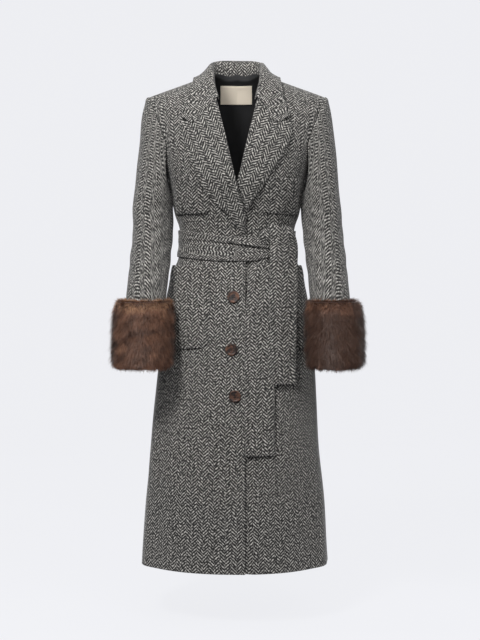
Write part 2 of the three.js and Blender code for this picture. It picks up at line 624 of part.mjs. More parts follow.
add('back_panel', backPanel(), wool);
add('front_right', frontPanel(-1, false), wool);
add('front_left', frontPanel(1, true), wool);
add('collar', collar(), wool);
for (const [name, size] of Object.entries(LAPELS)) add(`lapel_${name}`, lapel(size), wool);
for (const [name, side] of [['right', -1], ['left', 1]]) {
  add(`sleeve_${name}_top`, sleevePiece(side, true), wool);
  add(`sleeve_${name}_under`, sleevePiece(side, false), wool);
  add(`cuff_${name}`, cuff(CUFF_SIDES[name]), furry);
  add(`chest_pocket_${name}`, pocket(side, CHEST_POCKET), wool);
  add(`hip_pocket_${name}`, pocket(side, HIP_POCKET), wool);
}
add('belt_band', beltBand(), wool);
add('belt_knot', sash(KNOT, 3, 6), wool);
add('belt_tail_front', sash(TAIL_FRONT, 4, 14), wool);
add('belt_tail_back', sash(TAIL_BACK, 4, 10), wool);
BUTTONS.forEach(({ x, z }, index) => {
  const mesh = add(`button_${index + 1}`, new THREE.LatheGeometry(BUTTON_PROFILE, 18), horn);
  const seat = onFront(x, z, SEAM);
  const normal = onFront(x, z, 1).sub(onFront(x, z, 0)).normalize();
  mesh.position.copy(seat);
  mesh.quaternion.setFromUnitVectors(vec(0, 1, 0), normal);
});
add('lining_back', lining(), satin);
add('label', label(), ribbon);

export default coat;
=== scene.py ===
"""Dresses the belted herringbone coat: finer cloth, fur, horn buttons, light and camera.

Shapes are worked out in millimetres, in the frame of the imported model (+X to the viewer's
right, -Y to the coat's front, +Z up), and go into the meshes in metres.
"""
from __future__ import annotations

import logging
import math
from dataclasses import dataclass, field
from enum import Enum
from functools import partial
from typing import Any, Callable, Optional, Sequence, Union

import bpy
import numpy as np
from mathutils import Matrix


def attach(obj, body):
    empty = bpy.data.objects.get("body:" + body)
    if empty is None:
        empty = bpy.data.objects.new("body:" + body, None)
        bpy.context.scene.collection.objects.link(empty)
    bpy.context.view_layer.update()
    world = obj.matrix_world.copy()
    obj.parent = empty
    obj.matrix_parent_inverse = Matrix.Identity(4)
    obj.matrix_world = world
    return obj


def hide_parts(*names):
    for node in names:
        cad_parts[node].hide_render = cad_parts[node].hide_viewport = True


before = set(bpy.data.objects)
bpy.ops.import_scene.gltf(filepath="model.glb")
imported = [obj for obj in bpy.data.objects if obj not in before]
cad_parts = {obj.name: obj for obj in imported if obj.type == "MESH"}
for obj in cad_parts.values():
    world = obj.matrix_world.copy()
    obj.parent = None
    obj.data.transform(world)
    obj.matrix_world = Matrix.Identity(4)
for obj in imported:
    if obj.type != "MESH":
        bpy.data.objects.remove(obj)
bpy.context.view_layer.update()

log = logging.getLogger("coat")
Array = np.ndarray
Number = Union[float, Array]

MM = 0.001
CLOTH = 2.6
SEAM = 0.3
LAYER = CLOTH + 0.5
HEM_Z = -1140.0
UNDERARM_Z = -241.0
NECK_HEIGHT = 40.0
SHOULDER_SLOPE = 0.354
SHOULDER_HOLLOW = 6.5
YOKE_WIDTH = 242.0
SKEW = 0.024
BODY_POWER = 0.9
OVERLAP = 19.0
ARMHOLE_ANGLE = 57.0
NECK_HALF = 62.0
QUARTER = math.pi / 2
LAST_RISE = math.radians(89.88)
SCOOP_RISE = math.radians(64.0)
TURNED = [0, 3, 2, 1]
SIDE_SEAM = 0.00022
STEP = 1e-3


class Side(Enum):
    """The wearer's sides, with the sign of X on each."""

    RIGHT = -1
    LEFT = 1

    @property
    def word(self) -> str:
        """Lower-case word used in piece names."""
        return self.name.lower()


class Grain(Enum):
    """How the weave lies on a piece, as the angle of its warp from the piece's length."""

    LAPEL = 28.0
    COLLAR = 90.0


def ease(value: Number, start: float, stop: float) -> Number:
    """Smooth step: 0 before start, 1 after stop, 3t2 - 2t3 between.

    Args:
        value: Where to read the step.
        start: Value at which it leaves 0.
        stop: Value at which it reaches 1.

    Returns:
        The step, from 0 to 1.
    """
    t = np.clip((value - start) / (stop - start), 0.0, 1.0)
    return t * t * (3.0 - 2.0 * t)


def blend(a: Number, b: Number, t: Number) -> Number:
    """Straight-line mix of a and b.

    Args:
        a: Value at t = 0.
        b: Value at t = 1.
        t: Share of b.

    Returns:
        The mixed value.
    """
    return a + (b - a) * t


def power(value: Number, exponent: float) -> Number:
    """Power that keeps the sign of its base.

    Args:
        value: Base.
        exponent: Exponent of its size.

    Returns:
        The signed power.
    """
    return np.sign(value) * np.abs(value) ** exponent


def points(x: Number, y: Number, z: Number) -> Array:
    """Stack coordinates into an array of points.

    Args:
        x: Coordinates to the viewer's right.
        y: Coordinates away from the viewer.
        z: Heights.

    Returns:
        Array whose last axis holds x, y and z.
    """
    return np.stack(np.broadcast_arrays(x, y, z), axis=-1).astype(float)


def hermite(t: Number, start: Number, leave: Number, stop: Number, arrive: Number) -> Array:
    """Cubic curve between two values with given slopes.

    Args:
        t: Share of the way.
        start: Value at t = 0.
        leave: Slope there.
        stop: Value at t = 1.
        arrive: Slope there.

    Returns:
        The curve's value.
    """
    return (start * (2 * t**3 - 3 * t**2 + 1) + leave * (t**3 - 2 * t**2 + t)
            + stop * (3 * t**2 - 2 * t**3) + arrive * (t**3 - t**2))


def bumps(a: Array, b: Array, scale: float, seed: int, waves: int = 9) -> Array:
    """Smooth unevenness: a sum of plane sine waves with seeded directions, from about -1 to 1.

    Args:
        a: First coordinate.
        b: Second coordinate, in the same units.
        scale: Typical length of a wave.
        seed: Seed of the random directions.
        waves: Number of waves.

    Returns:
        The unevenness at each point.
    """
    rng = np.random.default_rng(seed)
    total = np.zeros(np.broadcast(a, b).shape)
    for turn, length, shift in zip(rng.uniform(0, math.tau, waves),
                                   rng.uniform(0.6, 1.7, waves), rng.uniform(0, math.tau, waves)):
        k = math.tau / (scale * length)
        total += np.sin(k * (a * math.cos(turn) + b * math.sin(turn)) + shift)
    return total / math.sqrt(waves)


class Table:
    """Short table with named columns, read on a smooth curve through its rows."""

    def __init__(self, columns: str, *rows: Sequence[float]) -> None:
        """Keep the rows in rising order of the first column.

        Args:
            columns: Column names, parted by spaces; the first is the key.
            rows: One row of numbers each.
        """
        ordered = np.array(sorted(rows, key=lambda row: row[0]), float)
        names = columns.split()
        self.key = ordered[:, 0]
        self.values = {name: ordered[:, k] for k, name in enumerate(names)}

    def smooth(self, at: Number, name: str) -> Array:
        """Cubic Hermite curve through a column, with each slope taken across its neighbours.

        Args:
            at: Keys to read.
            name: Column name.

        Returns:
            The column's values.
        """
        key, value = self.key, self.values[name]
        last = len(key) - 1
        i = np.clip(np.searchsorted(key, at, side="left") - 1, 0, last - 1)
        before = np.maximum(np.arange(last + 1) - 1, 0)
        after = np.minimum(np.arange(last + 1) + 1, last)
        slope = (value[after] - value[before]) / (key[after] - key[before])
        span = key[i + 1] - key[i]
        t = np.clip((at - key[i]) / span, 0.0, 1.0)
        return hermite(t, value[i], span * slope[i], value[i + 1], span * slope[i + 1])

    def straight(self, at: Number, name: str) -> Array:
        """Values of a column at these keys, on straight lines between its rows."""
        return np.interp(at, self.key, self.values[name])


Surface = Callable[[Number, Number], Array]


def normals(surface: Surface, u: Number, v: Number) -> Array:
    """Unit normals from two short steps on a surface.

    Args:
        surface: Function of two parameters that gives points.
        u: First parameter.
        v: Second parameter.

    Returns:
        Cross product of the two steps, with length 1.
    """
    du = surface(u + STEP, v) - surface(u - STEP, v)
    dv = surface(u, v + STEP) - surface(u, v - STEP)
    n = np.cross(du, dv)
    return n / np.maximum(np.linalg.norm(n, axis=-1, keepdims=True), 1e-12)


def spaced(count: int, start_near: Sequence[float] = (), end_near: Sequence[float] = ()) -> Array:
    """Even shares from 0 to 1 with extra shares close to the ends, for edges that round over.

    Args:
        count: Number of even spaces.
        start_near: Extra shares after 0.
        end_near: Extra distances before 1.

    Returns:
        Sorted shares.
    """
    extra = np.concatenate([np.linspace(0, 1, count + 1), np.array(start_near, float),
                            1.0 - np.array(end_near, float)])
    found = np.unique(np.round(extra, 6))
    keep = np.concatenate([[True], np.diff(found) > 0.15 / count])
    return found[keep]


@dataclass(frozen=True)
class Crease:
    """Soft trough or ridge that runs up and down the body.

    The offset is out times a bell curve across and a smooth fade at both ends.
    """

    angle: float
    out: float
    wide: float
    top: float
    foot: float

    def at(self, angle: Number, z: Number) -> Number:
        """Offset of the cloth.

        Args:
            angle: Angle from the front centre, in degrees.
            z: Height.

        Returns:
            Millimetres outwards.
        """
        away = np.mod(angle - self.angle + 540.0, 360.0) - 180.0
        reach = (z - self.foot) / (self.top - self.foot)
        open_end = self.foot <= HEM_Z
        fade = ease(reach, -0.4, 0.05) if open_end else ease(reach, 0.0, 0.3)
        return self.out * np.exp(-(away / self.wide) ** 2) * fade * ease(1 - reach, 0.0, 0.12)


@dataclass(frozen=True)
class BodyForm:
    """Hollow form of the worn coat: level sections, and quarter ellipses over the shoulders."""

    sections: Table = field(default_factory=lambda: Table(
        "z half front back",
        (-1140, 223, 170, 166), (-1013, 215, 163, 159), (-884, 203, 155, 152),
        (-755, 193.5, 145, 144), (-640, 183, 135, 137), (-560, 173, 127, 130),
        (-504, 164, 119, 122), (-454, 151, 109, 109), (-418, 139, 101, 97),
        (-386, 133, 97, 91), (-350, 137, 101, 95), (-310, 146, 110, 103),
        (-241, 160, 125, 115)))
    folds: tuple[Crease, ...] = (
        Crease(-66, 6, 10, -610, -1140), Crease(64, 6, 10, -610, -1140),
        Crease(132, 7, 10, -425, -1140), Crease(-136, 7, 10, -425, -1140),
        Crease(163, 6, 9, -425, -900), Crease(-168, 5, 9, -425, -860),
        Crease(148, 5, 9, -270, -366), Crease(-152, 5, 9, -275, -366))
    creases: tuple[Crease, ...] = (
        Crease(-4, -2.6, 2.4, -428, -560), Crease(9, -3.0, 2.2, -428, -520),
        Crease(16, 2.2, 3.0, -428, -600), Crease(-17, 1.8, 4.0, -428, -690),
        Crease(-30, -2.4, 3.0, -290, -362), Crease(-38, 2.0, 3.0, -285, -362),
        Crease(-22, 1.6, 2.6, -300, -362), Crease(-52, -2.2, 3.4, -280, -362),
        Crease(30, -2.4, 3.2, -285, -362), Crease(39, 2.0, 3.0, -290, -362),
        Crease(50, -2.0, 3.0, -285, -362), Crease(-75, -2.4, 4.0, -250, -362),
        Crease(74, -2.4, 4.0, -250, -362), Crease(-84, 2.4, 4.0, -428, -620),
        Crease(84, 2.4, 4.0, -428, -620), Crease(-100, -2.6, 4.0, -428, -640),
        Crease(104, -2.6, 4.0, -428, -640), Crease(120, 2.2, 4.0, -428, -600),
        Crease(-121, 2.2, 4.0, -428, -610), Crease(146, -2.6, 4.0, -428, -640),
        Crease(-149, -2.6, 4.0, -428, -620), Crease(176, 2.2, 4.5, -428, -620),
        Crease(-176, -1.8, 4.0, -290, -362), Crease(-164, 2.2, 3.4, -280, -362),
        Crease(128, -2.2, 3.4, -270, -362), Crease(-130, -2.2, 3.4, -270, -362),
        Crease(-90, 3.4, 12, -236, -350), Crease(90, 3.4, 12, -236, -350),
        Crease(168, -2.0, 3.4, -275, -362), Crease(110, 2.0, 3.4, -270, -362))

    def swell(self, angle: Number, z: Number) -> Number:
        """Main folds in millimetres outwards, which the solids have too."""
        return sum(fold.at(np.degrees(angle), z) for fold in self.folds)

    def crumple(self, angle: Number, z: Number) -> Number:
        """Small creases beside the sash and a slow unevenness of the cloth.

        Args:
            angle: Angle from the front centre, in radians.
            z: Height.

        Returns:
            Millimetres outwards.
        """
        degrees = np.degrees(angle)
        small = sum(crease.at(degrees, z) for crease in self.creases)
        slow = 0.9 * bumps(angle * 150.0, z, 170.0, 11) * ease(-z, 250.0, 700.0)
        return small + slow - 0.45 * ease(-z, 250.0, 700.0)

    def surface(self, angle: Number, height: Number) -> Array:
        """Outer form. Below the armholes each level is a squared ellipse; above them the depth
        falls with the cosine of the rise while the point climbs with its sine to the shoulder.

        Args:
            angle: Angle from the front centre, in radians.
            height: Millimetres below the armhole if negative, else the rise in radians.

        Returns:
            Points.
        """
        z = UNDERARM_Z + np.minimum(height, 0.0)
        rise = np.maximum(height, 0.0)
        ahead = np.cos(angle) >= 0
        depth = np.where(ahead, self.sections.smooth(z, "front"), self.sections.smooth(z, "back"))
        half = blend(self.sections.smooth(z, "half"), YOKE_WIDTH, np.sin(rise))
        swell = 1.0 + self.swell(angle, z) / 140.0
        x = half * power(np.sin(angle), BODY_POWER) * swell * skew(np.sin(angle), z)
        y = -depth * np.cos(rise) * power(np.cos(angle), BODY_POWER) * swell
        return points(x, y, z + np.sin(rise) * (shoulder_z(x) - UNDERARM_Z))

    def moved(self, angle: Number, height: Number, out: Number) -> Array:
        """Form moved out along its normals.

        Args:
            angle: Angle from the front centre, in radians.
            height: Height parameter, as in surface.
            out: Millimetres outwards.

        Returns:
            Points.
        """
        angle, height, out = np.broadcast_arrays(angle, height, out)
        base = self.surface(angle, height)
        return base + normals(self.surface, angle, height) * np.asarray(out, float)[..., None]

    def seen(self, x: Number, z: Number) -> tuple[Array, Array]:
        """Parameters of the point that the front view shows at x and z.

        Args:
            x: Distance to the viewer's right.
            z: Height.

        Returns:
            Angle in radians, and height parameter.
        """
        x, z = np.broadcast_arrays(np.asarray(x, float), np.asarray(z, float))
        low = z <= UNDERARM_Z
        sine = np.where(low, 0.0, np.clip((z - UNDERARM_Z) / (shoulder_z(x) - UNDERARM_Z),
                                          0.0, 0.99999))
        half = blend(self.sections.smooth(np.minimum(z, UNDERARM_Z), "half"), YOKE_WIDTH, sine)
        half = half * skew(x, z)
        angle = np.arcsin(np.clip(power(x / half, 1.0 / BODY_POWER), -1.0, 1.0))
        return angle, np.where(low, z - UNDERARM_Z, np.arcsin(sine))

    def on_front(self, x: Number, z: Number, out: Number, crumpled: float = 1.0) -> Array:
        """Point of the front at x and z, moved out over a share of the small creases."""
        angle, height = self.seen(x, z)
        return self.moved(angle, height, out + crumpled * self.crumple(angle, z))

    def on_back(self, x: Number, z: Number, out: Number) -> Array:
        """Point of the back at x and z, moved out from the form."""
        angle, height = self.seen(x, z)
        return self.moved(math.pi - angle, height, out)


def shoulder_z(x: Number) -> Number:
    """Height of the shoulder line.

    Args:
        x: Distance to the viewer's right.

    Returns:
        Height, falling from the neck with a soft hollow beside it.
    """
    away = np.abs(x)
    return NECK_HEIGHT - SHOULDER_SLOPE * away - SHOULDER_HOLLOW * ease(away, 30.0, 100.0)


def skew(side: Number, z: Number) -> Number:
    """Share that widens one half of the skirt and narrows the other.

    Args:
        side: Any number with the sign of X.
        z: Height.

    Returns:
        Factor of the width.
    """
    return 1.0 - SKEW * np.sign(side) * ease(-z, 560.0, 900.0)


def armhole_angle(rise: Number) -> Number:
    """Angle of the armhole's edge on the body: the side seam at its foot, then nearer the front.

    Args:
        rise: Height parameter above the underarm, in radians.

    Returns:
        Angle in radians.
    """
    drop = QUARTER - math.radians(ARMHOLE_ANGLE)
    return QUARTER - drop * ease(rise, 0.0, math.radians(24)) ** 0.7


FORM = BodyForm()


def arc_lengths(grid: Array, axis: int) -> Array:
    """Distance along the rows or columns of a grid of points.

    Args:
        grid: Rows by columns by 3.
        axis: 0 to go down the rows, 1 to go along the columns.

    Returns:
        Rows by columns of distances from the first point.
    """
    steps = np.linalg.norm(np.diff(grid, axis=axis), axis=-1)
    total = np.cumsum(steps, axis=axis)
    start = np.zeros_like(np.take(total, [0], axis=axis))
    return np.concatenate([start, total], axis=axis)


def grid_quads(ids: Array, beside: Array) -> Array:
    """Four-sided faces between the rows of a grid.

    Args:
        ids: Point numbers, rows by columns.
        beside: Numbers of the points one column further on.

    Returns:
        Faces, one row each.
    """
    return np.stack([ids[:-1], beside[:-1], beside[1:], ids[1:]], -1).reshape(-1, 4)


@dataclass
class Cloth:
    """One cut piece of cloth: an outer and an inner face on one grid, closed by its edges.

    Rows run along the grid's first axis. The rim bulges out by rounding millimetres on the
    edges that are turned and stays flat at seams.
    """

    name: str
    outer: Array
    inner: Array
    uv: Array
    materials: tuple[bpy.types.Material, ...]
    closed: bool = False
    rounded: tuple[bool, bool, bool, bool] = (True, True, True, True)
    rounding: float = 0.9

    def rim(self, faces: tuple[Array, Array], beyond: tuple[Array, Array], turned: bool) -> Array:
        """Middle line of an edge: halfway between the faces, pushed out of the cloth.

        Args:
            faces: Edge points of the outer and inner face.
            beyond: Their neighbours one step inside.
            turned: Whether the edge is turned and so rounds over.

        Returns:
            Points of the middle line.
        """
        middle = (faces[0] + faces[1]) / 2
        away = middle - (beyond[0] + beyond[1]) / 2
        away /= np.maximum(np.linalg.norm(away, axis=-1, keepdims=True), 1e-9)
        return middle + away * (self.rounding if turned else 0.0)

    def build(self) -> bpy.types.Object:
        """Put the faces, the rims and the cloth's own coordinates into a mesh.

        Returns:
            The new object, at the origin.
        """
        rows, cols = self.outer.shape[:2]
        wide = cols if self.closed else cols - 1
        ids = np.arange(rows * cols).reshape(rows, cols)
        lower = ids + rows * cols
        i = np.arange(wide)
        nxt = (i + 1) % cols
        verts = [self.outer.reshape(-1, 3), self.inner.reshape(-1, 3)]
        uvs = [self.uv.reshape(-1, 2), self.uv.reshape(-1, 2)]
        count = 2 * rows * cols
        quads = [grid_quads(ids[:, i], ids[:, nxt]),
                 grid_quads(lower[:, i], lower[:, nxt])[:, TURNED]]
        kinds = [np.zeros(len(quads[0]), int), np.ones(len(quads[1]), int)]
        every = slice(None)
        edges = [((0, every), (1, every), self.rounded[2], False),
                 ((-1, every), (-2, every), self.rounded[3], True)]
        if not self.closed:
            edges += [((every, 0), (every, 1), self.rounded[0], True),
                      ((every, -1), (every, -2), self.rounded[1], False)]
        corners: dict[int, int] = {}
        for edge, beyond, turned, flipped in edges:
            middle = self.rim((self.outer[edge], self.inner[edge]),
                              (self.outer[beyond], self.inner[beyond]), turned)
            new = np.arange(len(middle)) + count
            if not self.closed:
                for place in (0, -1):
                    corner = int(ids[edge][place])
                    new[place] = corners.setdefault(corner, int(new[place]))
            verts.append(middle)
            uvs.append(self.uv[edge])
            count += len(middle)
            loop = np.arange(len(middle)) if self.closed else np.arange(len(middle) - 1)
            after = (loop + 1) % len(middle)
            top, low = ids[edge], lower[edge]
            upper = np.stack([top[loop], new[loop], new[after], top[after]], -1)
            under = np.stack([new[loop], low[loop], low[after], new[after]], -1)
            for strip in (upper, under):
                quads.append(strip[:, ::-1] if flipped else strip)
                kinds.append(np.zeros(len(strip), int))
        return make_object(self.name, np.concatenate(verts), np.concatenate(quads),
                           np.concatenate(uvs), self.materials, np.concatenate(kinds))


def make_object(name: str, verts: Array, faces: Array, uv: Optional[Array],
                materials: Sequence[bpy.types.Material],
                kinds: Optional[Array] = None) -> bpy.types.Object:
    """Mesh object from whole arrays, with unused points left out and faces turned outwards.

    Args:
        name: Name of the piece.
        verts: Points in millimetres.
        faces: Point numbers, one row a face, with -1 where a row is a triangle.
        uv: Cloth coordinates in metres for each point, or None.
        materials: Its materials.
        kinds: Material number of each face.

    Returns:
        The new object, at the origin and linked to the scene.
    """
    used, packed = np.unique(faces[faces >= 0], return_inverse=True)
    flat = faces.copy()
    flat[faces >= 0] = packed
    lengths = (flat >= 0).sum(1)
    loops = flat[flat >= 0]
    mesh = bpy.data.meshes.new(name)
    mesh.vertices.add(len(used))
    mesh.vertices.foreach_set("co", (verts[used] * MM).astype(np.float32).ravel())
    mesh.loops.add(len(loops))
    mesh.loops.foreach_set("vertex_index", loops.astype(np.int32))
    mesh.polygons.add(len(lengths))
    starts = np.concatenate([[0], np.cumsum(lengths)[:-1]])
    mesh.polygons.foreach_set("loop_start", starts.astype(np.int32))
    mesh.polygons.foreach_set("loop_total", lengths.astype(np.int32))
    for material in materials:
        mesh.materials.append(material)
    if kinds is not None:
        mesh.polygons.foreach_set("material_index",
                                  np.minimum(kinds, len(materials) - 1).astype(np.int32))
    mesh.polygons.foreach_set("use_smooth", np.full(len(lengths), True))
    if uv is not None:
        layer = mesh.uv_layers.new(name="cloth")
        layer.data.foreach_set("uv", uv[used][loops].astype(np.float32).ravel())
    mesh.update(calc_edges=True)
    mesh.validate()
    piece = bpy.data.objects.new(name, mesh)
    bpy.context.scene.collection.objects.link(piece)
    return piece


def turned_out(cloth: Cloth) -> Cloth:
    """The same cloth with its columns reversed if its outer face looks inwards.

    Args:
        cloth: Piece to test, by the volume between its faces.

    Returns:
        Cloth whose first face points out.
    """
    a = cloth.outer
    du = a[:-1, 1:] - a[:-1, :-1]
    dv = a[1:, :-1] - a[:-1, :-1]
    through = (cloth.outer - cloth.inner)[:-1, :-1]
    if (np.cross(du, dv) * through).sum() >= 0:
        return cloth
    r = cloth.rounded
    return Cloth(cloth.name, cloth.outer[:, ::-1], cloth.inner[:, ::-1], cloth.uv[:, ::-1],
                 cloth.materials, cloth.closed, (r[1], r[0], r[2], r[3]), cloth.rounding)


def rotated(uv: Array, grain: Grain) -> Array:
    """Cloth coordinates turned to the piece's grain.

    Args:
        uv: Coordinates across and along the piece.
        grain: Its grain.

    Returns:
        Turned coordinates.
    """
    turn = math.radians(grain.value)
    u, v = uv[..., 0], uv[..., 1]
    return np.stack([u * math.cos(turn) - v * math.sin(turn),
                     u * math.sin(turn) + v * math.cos(turn)], -1)


@dataclass(frozen=True)
class Cut:
    """Flat size of a piece of cloth before it was sewn, in metres."""

    width: float
    length: float
    area: float

    @classmethod
    def of(cls, cloth: Cloth) -> "Cut":
        """Flat size from the distances along a finished grid.

        Args:
            cloth: The piece of cloth.

        Returns:
            Its widest row, its longest column and the area of its outer face.
        """
        across = arc_lengths(cloth.outer, 1)
        along = arc_lengths(cloth.outer, 0)
        wide = across[:, -1].max()
        if cloth.closed:
            wide += np.linalg.norm(cloth.outer[:, 0] - cloth.outer[:, -1], axis=-1).max()
        du = np.diff(cloth.outer, axis=1)[:-1]
        dv = np.diff(cloth.outer, axis=0)[:, :-1]
        area = np.linalg.norm(np.cross(du, dv), axis=-1).sum()
        return cls(float(wide) * MM, float(along[-1].max()) * MM, float(area * MM * MM))


class Socket:
    """A node's output, with operators that add the nodes of an expression on values."""

    def __init__(self, graph: "Graph", out: bpy.types.NodeSocket) -> None:
        """Wrap a node's output."""
        self.graph = graph
        self.out = out

    def __add__(self, other: "Value") -> "Socket":
        """Sum."""
        return self.graph.math("ADD", self, other)

    __radd__ = __add__

    def __sub__(self, other: "Value") -> "Socket":
        """Difference."""
        return self.graph.math("SUBTRACT", self, other)

    def __rsub__(self, other: "Value") -> "Socket":
        """Difference from a number."""
        return self.graph.math("SUBTRACT", other, self)

    def __mul__(self, other: "Value") -> "Socket":
        """Product."""
        return self.graph.math("MULTIPLY", self, other)

    __rmul__ = __mul__

    def __truediv__(self, other: "Value") -> "Socket":
        """Quotient."""
        return self.graph.math("DIVIDE", self, other)

    def __pow__(self, other: "Value") -> "Socket":
        """Power."""
        return self.graph.math("POWER", self, other)


Value = Union[Socket, float]
Colour = tuple[float, float, float]


class Graph:
    """Node graph of one material around a Principled shader."""

    def __init__(self, name: str) -> None:
        """Start a material.

        Args:
            name: Name of the finish.
        """
        self.material = bpy.data.materials.new(name)
        self.material.use_nodes = True
        self.tree = self.material.node_tree
        self.shader = self.tree.nodes["Principled BSDF"]

    def node(self, kind: str, **inputs: Any) -> bpy.types.Node:
        """Add a node.

        Args:
            kind: Node type.
            inputs: Values or sockets by input name, with underscores for spaces.

        Returns:
            The node.
        """
        made = self.tree.nodes.new(kind)
        for key, value in inputs.items():
            self.feed(made.inputs[key.replace("_", " ")], value)
        return made

    def feed(self, into: bpy.types.NodeSocket, value: Any) -> None:
        """Link or set an input.

        Args:
            into: The input.
            value: Socket to link, or value to set.
        """
        if isinstance(value, Socket):
            self.tree.links.new(value.out, into)
        else:
            into.default_value = value

    def math(self, operation: str, *values: Value) -> Socket:
        """Math node on values.

        Args:
            operation: Operation name.
            values: Its inputs in order.

        Returns:
            The result.
        """
        made = self.tree.nodes.new("ShaderNodeMath")
        made.operation = operation
        for into, value in zip(made.inputs, values):
            self.feed(into, value)
        return Socket(self, made.outputs[0])

    def noise(self, vector: Socket, scale: float, detail: float = 2.0) -> Socket:
        """Noise from 0 to 1, with its scale and its number of finer layers."""
        made = self.node("ShaderNodeTexNoise", Vector=vector, Scale=scale, Detail=detail)
        return Socket(self, made.outputs[0])

    def mix(self, amount: Value, a: Union[Colour, Socket], b: Union[Colour, Socket]) -> Socket:
        """Colour mix.

        Args:
            amount: Share of b.
            a: First colour.
            b: Second colour.

        Returns:
            The colour.
        """
        made = self.tree.nodes.new("ShaderNodeMix")
        made.data_type = "RGBA"
        self.feed(made.inputs[0], amount)
        for into, value in ((made.inputs[6], a), (made.inputs[7], b)):
            self.feed(into, value if isinstance(value, Socket) else (*value, 1.0))
        return Socket(self, made.outputs[2])

    def clamp(self, value: Socket) -> Socket:
        """Value held between 0 and 1."""
        return self.math("MAXIMUM", self.math("MINIMUM", value, 1.0), 0.0)

    def parts(self, vector: Socket) -> tuple[Socket, Socket, Socket]:
        """The vector's x, y and z."""
        made = self.node("ShaderNodeSeparateXYZ", Vector=vector)
        return tuple(Socket(self, out) for out in made.outputs)

    def cloth_uv(self) -> Socket:
        """The piece's own cloth coordinates, in metres.

        Returns:
            The vector.
        """
        made = self.node("ShaderNodeUVMap")
        made.uv_map = "cloth"
        return Socket(self, made.outputs[0])

    def place(self) -> Socket:
        """Object coordinates, in metres."""
        return Socket(self, self.node("ShaderNodeTexCoord").outputs["Object"])

    def bump(self, height: Socket, distance: float, strength: float = 1.0) -> None:
        """Relief of the surface from a height, with its depth in metres and its strength."""
        made = self.node("ShaderNodeBump", Height=height, Distance=distance, Strength=strength)
        self.tree.links.new(made.outputs[0], self.shader.inputs["Normal"])

    def finish(self, **inputs: Any) -> bpy.types.Material:
        """Set the shader's inputs.

        Args:
            inputs: Values or sockets by input name, with underscores for spaces.

        Returns:
            The material.
        """
        for key, value in inputs.items():
            self.feed(self.shader.inputs[key.replace("_", " ")], value)
        return self.material


@dataclass(frozen=True)
class Herringbone:
    """Black and cream wool in a zigzag twill, with a short nap.

    A stripe's phase is the height plus a triangle wave of the width, over the pitch. Lengths
    are in millimetres, and share and contrast set how much of a stripe is light.
    """

    name: str = "wool_herringbone"
    dark: Colour = (0.0125, 0.0122, 0.0118)
    light: Colour = (0.46, 0.44, 0.408)
    rubbed: Colour = (0.06, 0.058, 0.055)
    period: float = 25.0
    pitch: float = 7.5
    slope: float = 0.97
    wander: float = 3.0
    waver: float = 1.6
    jitter: float = 1.3
    share: float = -0.045
    contrast: float = 0.66

    def make(self) -> bpy.types.Material:
        """Build the finish.

        Returns:
            The material.
        """
        g = Graph(self.name)
        uv = g.cloth_uv()
        u, v, _ = g.parts(uv)
        wander = (g.noise(uv, 34.0, 0.0) - 0.5) * self.wander
        waver = (g.noise(uv, 60.0, 0.0) - 0.5) * self.waver
        jitter = (g.noise(uv, 220.0, 0.0) - 0.5) * self.jitter
        across = u * 1000.0 + wander + jitter
        along = v * 1000.0 + waver + jitter
        turn = g.math("FRACT", across / self.period)
        zigzag = g.math("ABSOLUTE", turn - 0.5) * (self.period * self.slope)
        broken = g.math("LESS_THAN", turn, 0.5) * 0.5
        phase = (along + zigzag) / self.pitch + broken
        wave = g.math("SINE", phase * math.tau)
        fleck = g.noise(uv, 460.0, 0.0)
        slub = g.noise(uv, 215.0, 0.0)
        shade = wave * 0.97 + (fleck - 0.5) * 1.4 + (slub - 0.5) * 3.1
        light = g.clamp(shade * self.contrast + self.share)
        worn = g.noise(g.place(), 9.0, 3.0)
        colour = g.mix(light, self.dark, self.light)
        colour = g.mix(g.clamp((worn - 0.4) * 0.35), colour, self.rubbed)
        g.bump(wave * 0.3 + slub * 0.3, 0.0004, 0.5)
        return g.finish(Base_Color=colour, Roughness=g.clamp(0.86 + (fleck - 0.5) * 0.2),
                        Sheen_Weight=0.12, Sheen_Roughness=0.5, Specular_IOR_Level=0.25)


@dataclass(frozen=True)
class Satin:
    """Black satin lining with a fine twill."""

    name: str = "lining_satin"
    colour: Colour = (0.014, 0.014, 0.0145)
    sheen: Colour = (0.022, 0.022, 0.023)
    twill: float = 0.9

    def make(self) -> bpy.types.Material:
        """Build the finish.

        Returns:
            The material.
        """
        g = Graph(self.name)
        uv = g.cloth_uv()
        u, v, _ = g.parts(uv)
        twill = g.math("SINE", (u + v) * (1000.0 * math.tau / self.twill))
        soft = g.noise(uv, 26.0, 3.0)
        colour = g.mix(soft, self.colour, self.sheen)
        g.bump(twill * 0.2 + soft * 2.0, 0.0006, 0.5)
        return g.finish(Base_Color=colour, Roughness=g.clamp(0.6 + (soft - 0.5) * 0.2),
                        Specular_IOR_Level=0.2)


@dataclass(frozen=True)
class Fur:
    """Brown fur: each hair darkens to its root and carries its own tone, painted shade included.
    """

    name: str = "fur_hair"
    deep: Colour = (0.042, 0.0185, 0.0115)
    middle: Colour = (0.165, 0.074, 0.043)
    pale: Colour = (0.42, 0.24, 0.135)

    def make(self) -> bpy.types.Material:
        """Build the finish.

        Returns:
            The material.
        """
        g = Graph(self.name)
        along, tone, _ = g.parts(g.cloth_uv())
        body = g.mix(g.clamp(tone * 2.0), self.deep, self.middle)
        body = g.mix(g.clamp(tone * 2.0 - 1.0), body, self.pale)
        colour = g.mix(g.clamp(1.15 - along * 1.5) ** 1.4, body, self.deep)
        streak = g.noise(g.place(), 700.0, 1.0)
        colour = g.mix(g.clamp((streak - 0.5) * 0.6), colour, self.pale)
        return g.finish(Base_Color=colour, Roughness=g.clamp(0.5 + (streak - 0.5) * 0.2),
                        Specular_IOR_Level=0.3, Sheen_Weight=0.1)


